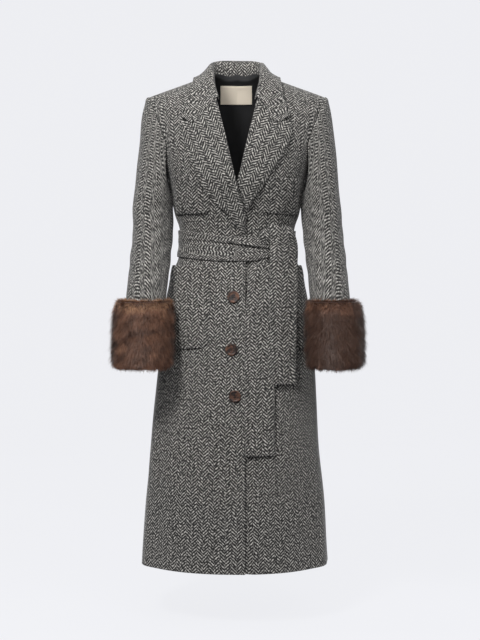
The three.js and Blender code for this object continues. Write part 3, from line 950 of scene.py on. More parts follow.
@dataclass(frozen=True)
class Horn:
    """Dark polished horn with lighter streaks."""

    name: str = "button_horn"
    dark: Colour = (0.009, 0.004, 0.003)
    light: Colour = (0.16, 0.07, 0.04)

    def make(self) -> bpy.types.Material:
        """Build the finish.

        Returns:
            The material.
        """
        g = Graph(self.name)
        place = g.place()
        cloud = g.noise(place, 95.0, 4.0)
        vein = g.noise(place, 330.0, 3.0)
        amount = g.clamp((cloud - 0.5) * 3.2 + (vein - 0.5) * 1.2 + 0.22)
        g.bump(vein, 0.0002, 0.4)
        return g.finish(Base_Color=g.mix(amount, self.dark, self.light),
                        Roughness=g.clamp(0.34 + vein * 0.2), Coat_Weight=0.12,
                        Coat_Roughness=0.2, Specular_IOR_Level=0.35)


@dataclass(frozen=True)
class Ribbon:
    """Beige woven label cloth with a fine rib and a faint woven border."""

    name: str = "label_ribbon"
    colour: Colour = (0.93, 0.83, 0.68)
    deep: Colour = (0.80, 0.69, 0.54)
    border: Colour = (0.42, 0.32, 0.22)
    half: tuple[float, float] = (39.5, 23.0)
    rib: float = 0.6
    inset: float = 2.6

    def make(self) -> bpy.types.Material:
        """Build the finish.

        Returns:
            The material.
        """
        g = Graph(self.name)
        uv = g.cloth_uv()
        u, v, _ = g.parts(uv)
        rib = g.math("SINE", v * (1000.0 * math.tau / self.rib))
        grain = g.noise(uv, 1500.0, 1.0)
        edge_u = self.half[0] - g.math("ABSOLUTE", u * 1000.0)
        edge_v = self.half[1] - g.math("ABSOLUTE", v * 1000.0)
        near = g.math("MINIMUM", edge_u, edge_v)
        border = g.clamp(1.0 - g.math("ABSOLUTE", near - self.inset) * 1.6)
        colour = g.mix(g.clamp(grain * 0.5 + rib * 0.1), self.colour, self.deep)
        colour = g.mix(border * 0.35, colour, self.border)
        g.bump(rib * 0.4 + grain, 0.00025, 0.7)
        return g.finish(Base_Color=colour, Roughness=g.clamp(0.62 + grain * 0.15),
                        Sheen_Weight=0.1)


@dataclass
class Finishes:
    """All the materials, made once."""

    wool: bpy.types.Material = field(default_factory=lambda: Herringbone().make())
    satin: bpy.types.Material = field(default_factory=lambda: Satin().make())
    fur: bpy.types.Material = field(default_factory=lambda: Fur().make())
    horn: bpy.types.Material = field(default_factory=lambda: Horn().make())
    ribbon: bpy.types.Material = field(default_factory=lambda: Ribbon().make())

    @property
    def lined(self) -> tuple[bpy.types.Material, bpy.types.Material]:
        """Wool outside and lining inside."""
        return self.wool, self.satin


def sew(cloth: Cloth, node: str) -> bpy.types.Object:
    """Build a piece of cloth, tie it to the frame and state its cut.

    Args:
        cloth: The piece.
        node: The solid that it stands for.

    Returns:
        The new object.
    """
    piece = turned_out(cloth).build()
    cut = Cut.of(cloth)
    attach(piece, "root")
    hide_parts(node)
    log.info("%s: cut %.0f x %.0f mm, %d faces", cloth.name, cut.width / MM, cut.length / MM,
             len(piece.data.polygons))
    return piece


def edge_dip(distance: Number, depth: Number, width: float) -> Number:
    """Inward pull of the cloth beside a seam or edge: a bell curve of the distance.

    Args:
        distance: Millimetres from the edge.
        depth: Pull at the edge.
        width: Width of the bell.

    Returns:
        Millimetres, negative inwards.
    """
    return -depth * np.exp(-(distance / width) ** 2)


@dataclass
class Panels:
    """Back and two fronts, on one body form."""

    finishes: Finishes
    level_step: float = 8.0
    rise_rows: int = 44
    columns: int = 66
    roll_line: Table = field(default_factory=lambda: Table(
        "z edge", (-1140, -OVERLAP), (-313, -OVERLAP), (-263, -2.4), (-215, 9.5),
        (-162, 21.5), (-103, 36), (-62, 46), (-50, 55), (-19, 61), (17, 64), (40, 64)))

    def heights(self) -> Array:
        """Rows of a panel from the hem to the shoulder seam, closer near the hem.

        Returns:
            Height parameters.
        """
        deep = HEM_Z - UNDERARM_Z
        levels = np.arange(deep + 6.0, -1.0, self.level_step)
        rises = np.linspace(0.0, 1.0, self.rise_rows) * LAST_RISE
        return np.concatenate([[deep, deep + 1.2, deep + 3.0], levels, rises])

    def inner_angle(self, heights: Array) -> Array:
        """Angle of a front's inner edge at each row, found by repeated reading of the table.

        Args:
            heights: Height parameters.

        Returns:
            Angles in radians.
        """
        z = UNDERARM_Z + np.minimum(heights, 0.0)
        angle = np.zeros_like(z)
        for _ in range(6):
            x = self.roll_line.straight(z, "edge")
            lifted = UNDERARM_Z + np.sin(heights) * (shoulder_z(x) - UNDERARM_Z)
            z = np.where(heights > 0, lifted, z)
            angle, _ = FORM.seen(x, z)
        return angle

    def pattern(self, grid: Array, heights: Array, start: Array) -> Array:
        """Cloth coordinates of a panel: distance from the centre plane, and height up to the
        underarm with the distance up the column above it.

        Args:
            grid: Outer points.
            heights: Height parameters of the rows.
            start: Coordinate of each row's first point.

        Returns:
            Coordinates in metres.
        """
        u = arc_lengths(grid, 1) + start[:, None]
        along = arc_lengths(grid, 0)
        base = int(np.argmax(heights >= 0))
        v = np.where((heights < 0)[:, None], UNDERARM_Z + heights[:, None],
                     UNDERARM_Z + along - along[base])
        return np.stack([u, v], -1) * MM

    def front(self, side: Side) -> bpy.types.Object:
        """One front. The wearer's left one lies behind the other where they cross.

        Args:
            side: Which front.

        Returns:
            The piece.
        """
        heights = self.heights()
        low = self.inner_angle(heights)[:, None]
        high = np.where(heights > 0, armhole_angle(np.maximum(heights, 0)),
                        QUARTER - SIDE_SEAM)[:, None]
        share = spaced(self.columns, (0.004, 0.01, 0.02), (0.004, 0.01, 0.02))[None, :]
        angle = blend(low, high, share)
        height = np.broadcast_to(heights[:, None], angle.shape)
        plain = FORM.surface(angle, height)
        x, z = plain[..., 0], plain[..., 2]
        edge = arc_lengths(plain, 1)
        seam = edge[:, -1:] - edge
        free = ease(-z, 300.0, 330.0)
        if side is Side.LEFT:
            behind = (LAYER + 0.6) * (1.0 - ease(x, OVERLAP + 3, OVERLAP + 26))
            behind = behind - edge_dip(x - OVERLAP - 2.5, 3.2 * free, 4.5)
        else:
            behind = edge_dip(edge, 1.5 * free, 9.0)
        worn = FORM.crumple(side.value * angle, z)
        out = worn - behind + edge_dip(seam, 0.6, 3.0) + edge_dip(edge, 0.5 * free, 1.6)
        outer = FORM.moved(side.value * angle, height, out)
        inner = FORM.moved(side.value * angle, height, out - CLOTH)
        uv = self.pattern(plain, heights, plain[:, 0, 0])
        uv[..., 0] *= side.value
        name = f"cloth_front_{side.word}"
        return sew(Cloth(name, outer, inner, uv, self.finishes.lined,
                         rounded=(True, False, True, False)), f"front_{side.word}")

    @staticmethod
    def scooped(heights: Array, step: Array, side: float) -> tuple[Array, Array]:
        """Parameters of a grid on the back whose top row is the scooped neckline.

        Args:
            heights: Height parameters of the rows, with the last one at the shoulder.
            step: Columns, from -1 to 1.
            side: Angle from the centre of the back to its edge, below the armholes.

        Returns:
            Angles and height parameters, rows by columns.
        """
        reach = np.where(heights > 0, armhole_angle(np.maximum(heights, 0)), side)
        x = YOKE_WIDTH * power(np.sin(np.abs(step) * math.radians(ARMHOLE_ANGLE)), BODY_POWER)
        top = blend(SCOOP_RISE, LAST_RISE, np.minimum(x / NECK_HALF, 1.0) ** 3)
        share = blend(1.0, top[None, :] / LAST_RISE, ease(heights, 0.0, LAST_RISE)[:, None])
        height = np.where(heights[:, None] > 0, heights[:, None] * share, heights[:, None])
        return math.pi - step[None, :] * reach[:, None], height

    def back(self) -> bpy.types.Object:
        """The back, with its neckline scooped between the shoulder seams.

        Returns:
            The piece.
        """
        heights = self.heights()
        step = 2.0 * spaced(2 * self.columns, (0.002, 0.005, 0.01), (0.002, 0.005, 0.01)) - 1.0
        angle, height = self.scooped(heights, step, QUARTER - SIDE_SEAM)
        plain = FORM.surface(angle, height)
        edge = arc_lengths(plain, 1)
        near = np.minimum(edge, edge[:, -1:] - edge)
        middle = np.abs(edge - edge[:, -1:] / 2)
        out = (FORM.crumple(angle, plain[..., 2]) + edge_dip(near, 0.9, 3.0)
               + edge_dip(middle, 0.9, 2.2))
        outer = FORM.moved(angle, height, out)
        inner = FORM.moved(angle, height, out - CLOTH)
        uv = self.pattern(plain, heights, -edge[:, -1] / 2)
        return sew(Cloth("cloth_back", outer, inner, uv, self.finishes.lined,
                         rounded=(False, False, True, False)), "back_panel")

    @staticmethod
    def raised(face: Array) -> Array:
        """Face of the lining with rows added that stand up before the foot of the collar.

        Args:
            face: Grid whose last row is the neckline.

        Returns:
            The longer grid.
        """
        top = face[-1]
        rise = 12.5 * (1.0 - ease(np.abs(top[:, 0]), 34.0, NECK_HALF))
        rows = [top + points(0.0, 0.4 * share, rise * share) for share in (0.25, 0.5, 0.75, 1.0)]
        return np.concatenate([face, np.array(rows)])

    def lining(self) -> bpy.types.Object:
        """Lining of the back from the waist to the neck, with a soft pleat down its centre.

        Returns:
            The piece.
        """
        heights = np.concatenate([np.linspace(-145.0, -2.0, 24), np.linspace(0, LAST_RISE, 40)])
        angle, height = self.scooped(heights, np.linspace(-0.9, 0.9, 81), QUARTER)
        plain = FORM.surface(angle, height)
        worn = FORM.crumple(angle, plain[..., 2])
        edge = arc_lengths(plain, 1)
        middle = edge - edge[:, -1:] / 2
        pleat = 1.6 * np.exp(-(middle / 3.0) ** 2) + 0.5 * bumps(middle, plain[..., 2], 60, 5)
        pleat = np.maximum(pleat, -0.4) * (1.0 - ease(plain[..., 2], -80.0, -52.0))
        out = worn - CLOTH - 1.0 - pleat
        outer = FORM.moved(angle, height, out)
        inner = FORM.moved(angle, height, out - 1.0)
        outer, inner = self.raised(outer), self.raised(inner)
        middle = np.concatenate([middle, np.repeat(middle[-1:], len(outer) - len(middle), 0)])
        uv = np.stack([middle, arc_lengths(outer, 0)], -1) * MM
        satin = (self.finishes.satin,)
        return sew(Cloth("lining_of_back", outer, inner, uv, satin, rounding=0.3), "lining_back")


@dataclass
class LapelShape:
    """Outline of a lapel seen from the front, in distances out from the centre on its side."""

    side: Side
    rows: Table
    stand: float
    notch: tuple[float, float]


@dataclass
class Lapels:
    """The two lapels, turned back over the fronts from their roll lines."""

    finishes: Finishes
    notch_share: float = 0.56
    lift: float = 1.0
    right: LapelShape = field(default_factory=lambda: LapelShape(Side.RIGHT, Table(
        "t inZ inX outZ outX", (0, -360, -18, -366, -15), (0.14, -318, -18.5, -325, 16),
        (0.32, -263, -2.4, -288, 57), (0.52, -205, 12, -239, 85), (0.7, -150, 24.5, -190, 106),
        (0.86, -100, 36.5, -149, 120), (1, -54.5, 47.3, -106.5, 126)), 2.2, (97.0, -112.0)))
    left: LapelShape = field(default_factory=lambda: LapelShape(Side.LEFT, Table(
        "t inZ inX outZ outX", (0, -308, 22, -312, 24), (0.14, -280, 12, -284, 38),
        (0.3, -250, 5, -259, 56), (0.5, -205, 12, -222, 78), (0.7, -150, 24.5, -180, 105),
        (0.86, -100, 36.5, -140, 123), (1, -54.5, 47.3, -106, 125)), 5.2, (88.0, -112.0)))

    def make(self, shape: LapelShape) -> bpy.types.Object:
        """Build one lapel. Rows run from the break to the notch, columns from the roll line out.

        Args:
            shape: Its outline.

        Returns:
            The piece.
        """
        v = spaced(84, (0.004, 0.012), (0.003, 0.008, 0.015))[:, None]
        u = spaced(44, (0.006, 0.015, 0.03), (0.008, 0.02, 0.035, 0.05))[None, :]
        rows = shape.rows
        end = {name: float(rows.values[name][-1]) for name in ("inX", "inZ", "outX", "outZ")}
        near = u < self.notch_share
        part = np.where(near, u / self.notch_share,
                        (u - self.notch_share) / (1 - self.notch_share))
        top_x = np.where(near, blend(end["inX"], shape.notch[0], part),
                         blend(shape.notch[0], end["outX"], part))
        top_z = np.where(near, blend(end["inZ"], shape.notch[1], part),
                         blend(shape.notch[1], end["outZ"], part))
        bend = v ** 6
        x = blend(rows.straight(v, "inX"), rows.smooth(v, "outX"), u)
        z = blend(rows.straight(v, "inZ"), rows.smooth(v, "outZ"), u)
        x = x + bend * (top_x - blend(end["inX"], end["outX"], u))
        z = z + bend * (top_z - blend(end["inZ"], end["outZ"], u))
        flat = points(x, 0.0, z)
        edge = arc_lengths(flat, 1)
        outward = edge[:, -1:] - edge
        roll = -edge_dip(edge, 2.6, 9.0)
        sewn = ease(v, 0.74, 0.96)
        stand = blend(shape.stand, 2.9, sewn) * blend(np.minimum(u / 0.45, 1.0), 1.0, sewn)
        lift = self.lift + stand + roll
        lift = lift + 0.7 * bumps(x, z, 90.0, 21) * ease(edge, 5.0, 30.0)
        lift = lift + edge_dip(outward, 1.1, 2.2) + edge_dip(edge, 1.6, 2.0)
        outer = FORM.on_front(shape.side.value * x, z, lift + CLOTH)
        inner = FORM.on_front(shape.side.value * x, z, lift)
        uv = rotated(flat[..., [0, 2]] * MM, Grain.LAPEL)
        uv[..., 0] *= shape.side.value
        wool = (self.finishes.wool,)
        return sew(Cloth(f"cloth_lapel_{shape.side.word}", outer, inner, uv, wool),
                   f"lapel_{shape.side.word}")


@dataclass
class Collar:
    """One folded wall round the neck: stand, roll and fall."""

    finishes: Finishes

    def stations(self) -> Array:
        """Sections from the wearer's right end to the left one, each with six points.

        Returns:
            Stations by six by 3.
        """
        half = np.array([
            [(0, 50, 13), (0, 51, 34), (0, 59, 53), (0, 68, 47), (0, 74, 22), (0, 77, -14)],
            [(32, 45, 14), (33, 46, 34), (34, 54, 52), (38, 63, 46), (43, 69, 21), (49, 73, -13)],
            [(54, 27, 16), (54, 26, 31), (56, 33, 45), (63, 39, 37), (73, 44, 12), (84, 51, -12)],
            [(58, 2, 18.5), (58, 1, 29), (60, 3, 39.5), (68, 4, 31), (81, 5, 14),
             (98, 6, 3.2)],
            [(57, -26, 10), (57, -29, 17), (59, -33, 27), (67, -35, 20), (82, -36, 5),
             (101, -36, -6)],
            [(52, -57, -19), (52, -62, -16), (55.5, -69, -12), (65, -72, -20), (83, -75, -33),
             (106, -77, -46)]], float)
        right = self.end((64.5, 96.5, 126.0), (-75.6, -111.2, -98.0))
        left = self.end((62.8, 87.5, 121.0), (-76.6, -111.6, -94.5))
        other = np.concatenate([right, half[1:][::-1]]) * np.array([-1.0, 1.0, 1.0])
        return np.concatenate([other, half, left])

    @staticmethod
    def end(x: Sequence[float], z: Sequence[float]) -> Array:
        """Front end: the stand's three points, then two along the lapel's top edge and the tip.

        Args:
            x: Distances out from the centre of the last three points.
            z: Their heights.

        Returns:
            One station.
        """
        laid = FORM.on_front(np.array(x), np.array(z), 6.5, 0.0)
        stand = np.array([(44, -83, -57), (44, -87, -56), (47.5, -93, -53)], float)
        return np.concatenate([stand, laid])[None]

    @staticmethod
    def through(rows: Array, share: Number) -> Array:
        """Catmull-Rom curve through the first axis of an array.

        Args:
            rows: Values to pass through.
            share: Where to read it, from 0 to 1.

        Returns:
            Values with one row for each share.
        """
        last = len(rows) - 1
        at = np.clip(np.asarray(share), -0.01, 1.01) * last
        i = np.clip(np.floor(at).astype(int), 0, last - 1)
        t = (at - i).reshape(-1, *([1] * (rows.ndim - 1)))
        padded = np.concatenate([[2 * rows[0] - rows[1]], rows, [2 * rows[-1] - rows[-2]]])
        a, b, c, d = (padded[i + k] for k in range(4))
        return 0.5 * (2 * b + (c - a) * t + (2 * a - 5 * b + 4 * c - d) * t**2
                      + (3 * b - a - 3 * c + d) * t**3)

    def surface(self, along: Array, across: Array) -> Array:
        """Points of the folded wall at a place along it and a share up it."""
        sections = self.through(self.stations(), along)
        return np.swapaxes(self.through(np.swapaxes(sections, 0, 1), across), 0, 1)

    def make(self) -> bpy.types.Object:
        """Build the collar.

        Returns:
            The piece.
        """
        along = spaced(130, (0.002, 0.005, 0.01), (0.002, 0.005, 0.01))
        across = spaced(60, (0.01, 0.02), (0.008, 0.02, 0.035))
        base = self.surface(along, across)
        du = self.surface(along + STEP, across) - self.surface(along - STEP, across)
        dv = self.surface(along, across + STEP) - self.surface(along, across - STEP)
        n = np.cross(dv, du)
        n /= np.linalg.norm(n, axis=-1, keepdims=True)
        u_mm, v_mm = arc_lengths(base, 0), arc_lengths(base, 1)
        free = v_mm[:, -1:] - v_mm
        ends = np.minimum(u_mm, u_mm[-1:] - u_mm)
        soft = 0.6 * bumps(u_mm, v_mm, 80.0, 31) * ease(free, 3.0, 25.0)
        loose = ease(across, 0.74, 0.86)[None, :]
        out = soft + edge_dip(free, 1.0, 2.2) + edge_dip(ends, 1.0, 2.2) * loose
        outer = base + n * out[..., None]
        inner = base + n * (out - CLOTH)[..., None]
        uv = rotated(np.stack([v_mm, u_mm - u_mm[-1:] / 2], -1) * MM, Grain.COLLAR)
        wool = (self.finishes.wool,)
        return sew(Cloth("cloth_collar", outer, inner, uv, wool), "collar")


@dataclass(frozen=True)
class SleeveForm:
    """Tube of a sleeve, joined to the armhole by curves that leave it and turn down."""

    sections: Table = field(default_factory=lambda: Table(
        "z x y half deep", (-300, 199.5, -10, 48.5, 66), (-367, 203, -28, 48, 62),
        (-439, 209, -62, 47.5, 56), (-482, 212, -88, 46.5, 51), (-513, 214, -106, 46, 46)))
    end: tuple[float, ...] = (-672, 219, -142, 45, 41)
    head_round: float = 72.0
    right_lean: float = 5.0

    def lean(self, side: Side, z: Number) -> Number:
        """Millimetres by which a side's tube leans in from the shared sizes."""
        return self.right_lean * ease(-z, 280.0, 400.0) if side is Side.RIGHT else 0.0 * z

    def size(self, z: Number, name: str) -> Array:
        """Named size of the tube at a height; it runs straight inside the cuff.

        Args:
            z: Height.
            name: x, y, half or deep.

        Returns:
            The size.
        """
        table = self.sections
        wrist = float(table.key[0])
        last = dict(zip(("z", "x", "y", "half", "deep"), self.end))
        inside = blend(table.values[name][0], last[name], (z - wrist) / (last["z"] - wrist))
        return np.where(z >= wrist, table.smooth(np.maximum(z, wrist), name), inside)

    @staticmethod
    def armhole(turn: Number) -> Array:
        """Point of the armhole: turn 0 is the shoulder, running forwards to the underarm.

        Args:
            turn: Turn in radians.

        Returns:
            Points.
        """
        rise = LAST_RISE * (0.5 + 0.5 * np.cos(turn)) ** 0.8
        angle = armhole_angle(rise)
        return FORM.surface(np.where(np.sin(turn) >= 0, angle, math.pi - angle), rise)

    def surface(self, side: Side, turn: Number, length: Number) -> Array:
        """Point of a sleeve, mirrored to the left side: a Hermite curve from armhole to tube for
        each turn up to length 1, then level ellipses down to length 2.

        Args:
            side: Which sleeve.
            turn: Turn in radians from the sleeve's outer line, forwards.
            length: Place along the sleeve, from 0 to 2.

        Returns:
            Points.
        """
        turn, length = np.broadcast_arrays(turn, length)
        top = float(self.sections.key[-1])
        z = blend(top, self.end[0], np.maximum(length - 1.0, 0.0))
        centre = self.size(z, "x") - self.lean(side, z)
        tube = points(centre + self.size(z, "half") * np.cos(turn),
                      self.size(z, "y") - self.size(z, "deep") * np.sin(turn), z)
        start = self.armhole(turn) + np.array([SEAM + 0.3, 0.0, 0.0])
        low = 0.5 - 0.5 * np.cos(turn)
        leave = points(1 - 0.93 * low, -0.3 * np.sin(turn), -0.9 * low)
        leave = leave * blend(self.head_round, 70.0, low)[..., None]
        arrive = np.array([34.0, -14.0, -230.0]) * blend(1.0, 0.32, low)[..., None]
        t = np.minimum(length, 1.0)[..., None]
        joined = hermite(t, start, leave, tube, arrive)
        return np.where((length < 1.0)[..., None], joined, tube)

    def crumple(self, turn: Array, length: Array, seed: int) -> Array:
        """Soft drag lines at the elbow and under the arm, and a slow unevenness.

        Args:
            turn: Turn in radians.
            length: Place along the sleeve.
            seed: Seed of the unevenness.

        Returns:
            Millimetres outwards.
        """
        bend = np.exp(-((length - 1.32) / 0.26) ** 2)
        drag = np.sin(46.0 * (length - 0.10 * np.cos(turn - 1.2))) * bend
        arm = np.exp(-((length - 0.75) / 0.35) ** 2) * (0.5 - 0.5 * np.cos(turn - 0.6))
        slack = np.sin(5.0 * turn + 9.0 * length) * arm
        slow = bumps(turn * 50.0, length * 300.0, 130.0, seed)
        fade = ease(length, 0.06, 0.3) * ease(2.0 - length, 0.45, 0.6)
        return (0.75 * drag + 0.8 * slack + 0.8 * slow - 0.5) * fade


SLEEVE = SleeveForm()


@dataclass
class Sleeves:
    """Two sleeves, each of a top and an under piece."""

    finishes: Finishes
    front_rise: float = 18.0
    back_rise: float = 48.0
    gap: float = SEAM / 120

    def make(self, side: Side, top: bool) -> bpy.types.Object:
        """Build one piece of a sleeve.

        Args:
            side: Which sleeve.
            top: Whether it is the top piece.

        Returns:
            The piece.
        """
        share = np.radians([self.front_rise, self.back_rise]) / LAST_RISE
        ahead, behind = np.arccos(2 * share**1.25 - 1)
        low, high = (-behind, ahead) if top else (ahead, math.tau - behind)
        turn = blend(low + self.gap, high - self.gap,
                     spaced(84 if top else 52, (0.006, 0.015), (0.006, 0.015)))[None, :]
        length = np.concatenate([spaced(70, (0.003, 0.007)), 1 + np.linspace(0, 1, 66)[1:]])
        turn, length = np.broadcast_arrays(turn, length[:, None])
        form = partial(SLEEVE.surface, side)
        base = form(turn, length)
        n = normals(form, turn, np.maximum(length, 2e-3))
        across, along = arc_lengths(base, 1), arc_lengths(base, 0)
        near = np.minimum(across, across[:, -1:] - across)
        out = (SLEEVE.crumple(turn, length, 41 + side.value) + edge_dip(near, 0.8, 2.6)
               + edge_dip(along, 0.6, 3.0))
        out = out + 1.8 * np.exp(-((along - 9.0) / 8.0) ** 2) * ease(np.cos(turn), -0.2, 0.7)
        outer = base + n * out[..., None]
        inner = base + n * (out - CLOTH)[..., None]
        middle = np.argmin(np.abs(turn[0] - (0.0 if top else math.pi)))
        uv = np.stack([across - across[:, middle:middle + 1], -along], -1) * MM
        if side is Side.RIGHT:
            flip = np.array([-1.0, 1.0, 1.0])
            outer, inner = outer * flip, inner * flip
        kind = "top" if top else "under"
        cloth = Cloth(f"cloth_sleeve_{side.word}_{kind}", outer, inner, uv, self.finishes.lined,
                      rounded=(False, False, False, True))
        return sew(cloth, f"sleeve_{side.word}_{kind}")


@dataclass
class FurCuff:
    """Fur cuff: a soft pelt round the sleeve's end, and the hairs that stand on it."""

    finishes: Finishes
    side: Side
    reach: float
    x: float
    deep: float = 62.0
    top: float = -513.0
    foot: float = -681.0
    gap: float = 1.0
    # Painted shade: amount taken off the tone of every hair on this cuff, darkening the cuff that
    # lies on the shaded side.
    painted_shade: float = 0.0
    thick: float = 24.0
    radius: float = 62.0
    hairs: int = 34000
    long: float = 19.0
    lengths: tuple[float, float] = (0.72, 1.1)
    widths: tuple[float, float] = (0.34, 0.62)
    blade: tuple[float, ...] = (0.0, 0.4, 0.75, 1.0)
    taper: tuple[float, ...] = (1.0, 0.85, 0.5, 0.0)
    rise: float = 0.62
    slant: float = 0.30
    droop: float = 0.42
    root_tone: float = 0.23
    edge_tone: float = 0.54

    def at(self, turn: Array, down: Array, out: Array) -> Array:
        """Point of the cuff.

        Args:
            turn: Turn in radians.
            down: Share down the cuff.
            out: Share from the sleeve to the outer form.

        Returns:
            Points.
        """
        z = blend(self.top, self.foot, down)
        half = blend(SLEEVE.size(z, "half") + self.gap, self.reach, out)
        deep = blend(SLEEVE.size(z, "deep") + self.gap, self.deep, out)
        centre = blend(SLEEVE.size(z, "x") - SLEEVE.lean(self.side, z), self.x, out)
        return points(self.side.value * (centre + half * np.cos(turn)),
                      SLEEVE.size(z, "y") - deep * np.sin(turn), z)

    def profile(self, share: Array) -> tuple[Array, Array]:
        """Section of the pelt: a long rounded loop from the top edge down and back up inside,
        run round at an even pace.

        Args:
            share: Place round the loop, from 0 to 1.

        Returns:
            Shares down the cuff, and shares outwards.
        """
        around = np.linspace(0.0, math.tau, 721)
        down = 0.485 - 0.435 * power(np.cos(around), 0.5)
        out = 0.33 + 0.32 * power(np.sin(around), 0.6)
        run = np.cumsum(np.hypot(np.diff(down, prepend=down[0]) * (self.top - self.foot),
                                 np.diff(out, prepend=out[0]) * self.thick))
        at = np.mod(share, 1.0) * run[-1]
        return np.interp(at, run, down), np.interp(at, run, out)

    def pelt(self) -> bpy.types.Object:
        """Closed ring of the pelt.

        Returns:
            The piece.
        """
        turn = np.linspace(0, math.tau, 97)[:-1][:, None]
        share = np.linspace(0, 1, 49)[:-1][None, :]
        down, out = self.profile(share)
        wave = 0.05 * bumps(turn * 60, share * 300, 60, 61 + self.side.value)
        grid = self.at(turn, down, np.clip(out + wave * (out > 0.3), 0.0, 1.0))
        rows, cols = grid.shape[:2]
        ids = np.arange(rows * cols).reshape(rows, cols)
        right, up = np.roll(ids, -1, 0), np.roll(ids, -1, 1)
        both = np.roll(right, -1, 1)
        quads = np.stack([ids, right, both, up], -1).reshape(-1, 4)
        if self.side is Side.LEFT:
            quads = quads[:, ::-1]
        uv = np.stack([np.full(rows * cols, 0.55), np.full(rows * cols, 0.22)], -1)
        return make_object(f"fur_pelt_{self.side.word}", grid.reshape(-1, 3), quads, uv,
                           (self.finishes.fur,))

    def coat(self) -> bpy.types.Object:
        """Hairs: flat tapered blades that leave the pelt outwards and bend down.

        A blade's point at share t is the root plus its length times (t times its first
        direction plus t squared times its bend).

        Returns:
            The piece.
        """
        rng = np.random.default_rng(71 + self.side.value)
        n = self.hairs
        turn = rng.uniform(0, math.tau, n)
        share = rng.beta(1.05, 1.05, n)
        loop = blend(-0.03, 0.53, share)
        down, out = self.profile(loop)
        root = self.at(turn, down, out)
        ahead, behind = self.profile(loop + 0.01), self.profile(loop - 0.01)
        along = self.at(turn, *ahead) - self.at(turn, *behind)
        round_way = self.at(turn + 0.01, down, out) - self.at(turn - 0.01, down, out)
        normal = np.cross(round_way, along) * (1.0 if self.side is Side.LEFT else -1.0)
        outward = root - self.at(turn, np.full(n, 0.5), np.full(n, 0.0))
        normal *= np.sign((normal * outward).sum(-1, keepdims=True))
        for vector in (normal, along, round_way):
            vector /= np.linalg.norm(vector, axis=-1, keepdims=True)
        way, drop = turn * self.radius, down * (self.top - self.foot)
        clump = bumps(way, drop, 26, 81 + self.side.value)
        sway = bumps(way, drop, 42, 91 + self.side.value)
        size = self.long * rng.uniform(*self.lengths, n) * (1 + 0.10 * clump)
        top_edge = ease(-down, -0.16, -0.06)
        size = size * (1.0 - 0.45 * ease(down, 0.80, 0.92)) * (1.0 - 0.3 * top_edge)
        fall = np.tile(np.array([0.0, 0.0, -1.0]), (n, 1))
        jitter = rng.normal(0, 0.16, (n, 3))
        lean = round_way * (0.30 * sway + rng.normal(0, 0.12, n))[:, None]
        first = normal * self.rise + along * self.slant + lean + jitter
        edge = (top_edge * 0.9)[:, None]
        bend = (fall * self.droop + along * 0.16) * (1 - edge) - normal * 0.10
        blade = np.array(self.blade)
        t = blade[None, :, None]
        spine = root[:, None] + size[:, None, None] * (t * first[:, None] + t**2 * bend[:, None])
        width = rng.uniform(*self.widths, n)[:, None] * np.array(self.taper)[None, :]
        flat = np.cross(first, normal)
        flat = round_way + 0.5 * flat / np.maximum(np.linalg.norm(flat, axis=-1, keepdims=True),
                                                   1e-6)
        flat /= np.linalg.norm(flat, axis=-1, keepdims=True)
        offset = flat[:, None] * width[..., None]
        left, right = spine[:, :3] - offset[:, :3], spine[:, :3] + offset[:, :3]
        verts = np.concatenate([left, right, spine[:, 3:]], axis=1).reshape(-1, 3)
        base = (np.arange(n) * 7)[:, None, None]
        pattern = np.array([[0, 3, 4, 1], [1, 4, 5, 2], [2, 5, 6, -1]])[None]
        faces = np.where(pattern < 0, -1, pattern + base).reshape(-1, 4)
        shore = np.maximum(ease(-down, -0.26, -0.05), 0.3 * ease(down, 0.8, 0.95))
        tone = self.root_tone + self.edge_tone * shore + 0.12 * clump + 0.07 * sway
        tone = tone + rng.normal(0, 0.09, n)
        # Painted shade: every hair is darkened by the cuff's set amount, and more towards the
        # cuff's outer and inner sides, which turn away from the light.
        tone = tone - self.painted_shade - 0.10 * np.abs(np.cos(turn)) ** 6
        tone = np.clip(tone, 0.02, 0.98)
        along_uv = np.concatenate([blade[:3], blade])
        uv = np.stack(np.broadcast_arrays(along_uv[None, :], tone[:, None]), -1).reshape(-1, 2)
        return make_object(f"fur_hairs_{self.side.word}", verts, faces, uv,
                           (self.finishes.fur,))

    def make(self) -> None:
        """Build the cuff, and state how many hairs it has."""
        node = f"cuff_{self.side.word}"
        pelt, hairs = self.pelt(), self.coat()
        for piece in (pelt, hairs):
            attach(piece, "root")
            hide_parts(node)
        log.info("%s: %d hairs", node, self.hairs)


@dataclass(frozen=True)
class PocketShape:
    """Patch pocket seen from the front, in distances out from the centre."""

    kind: str
    inner: float
    outer: float
    top: float
    foot: float
    round: float
    flare: float
    lift: float = 1.6


CHEST = PocketShape("chest", 64, 141, -238, -319, 6, 0)
HIP = PocketShape("hip", 63, 170, -441, -632, 26, 5)


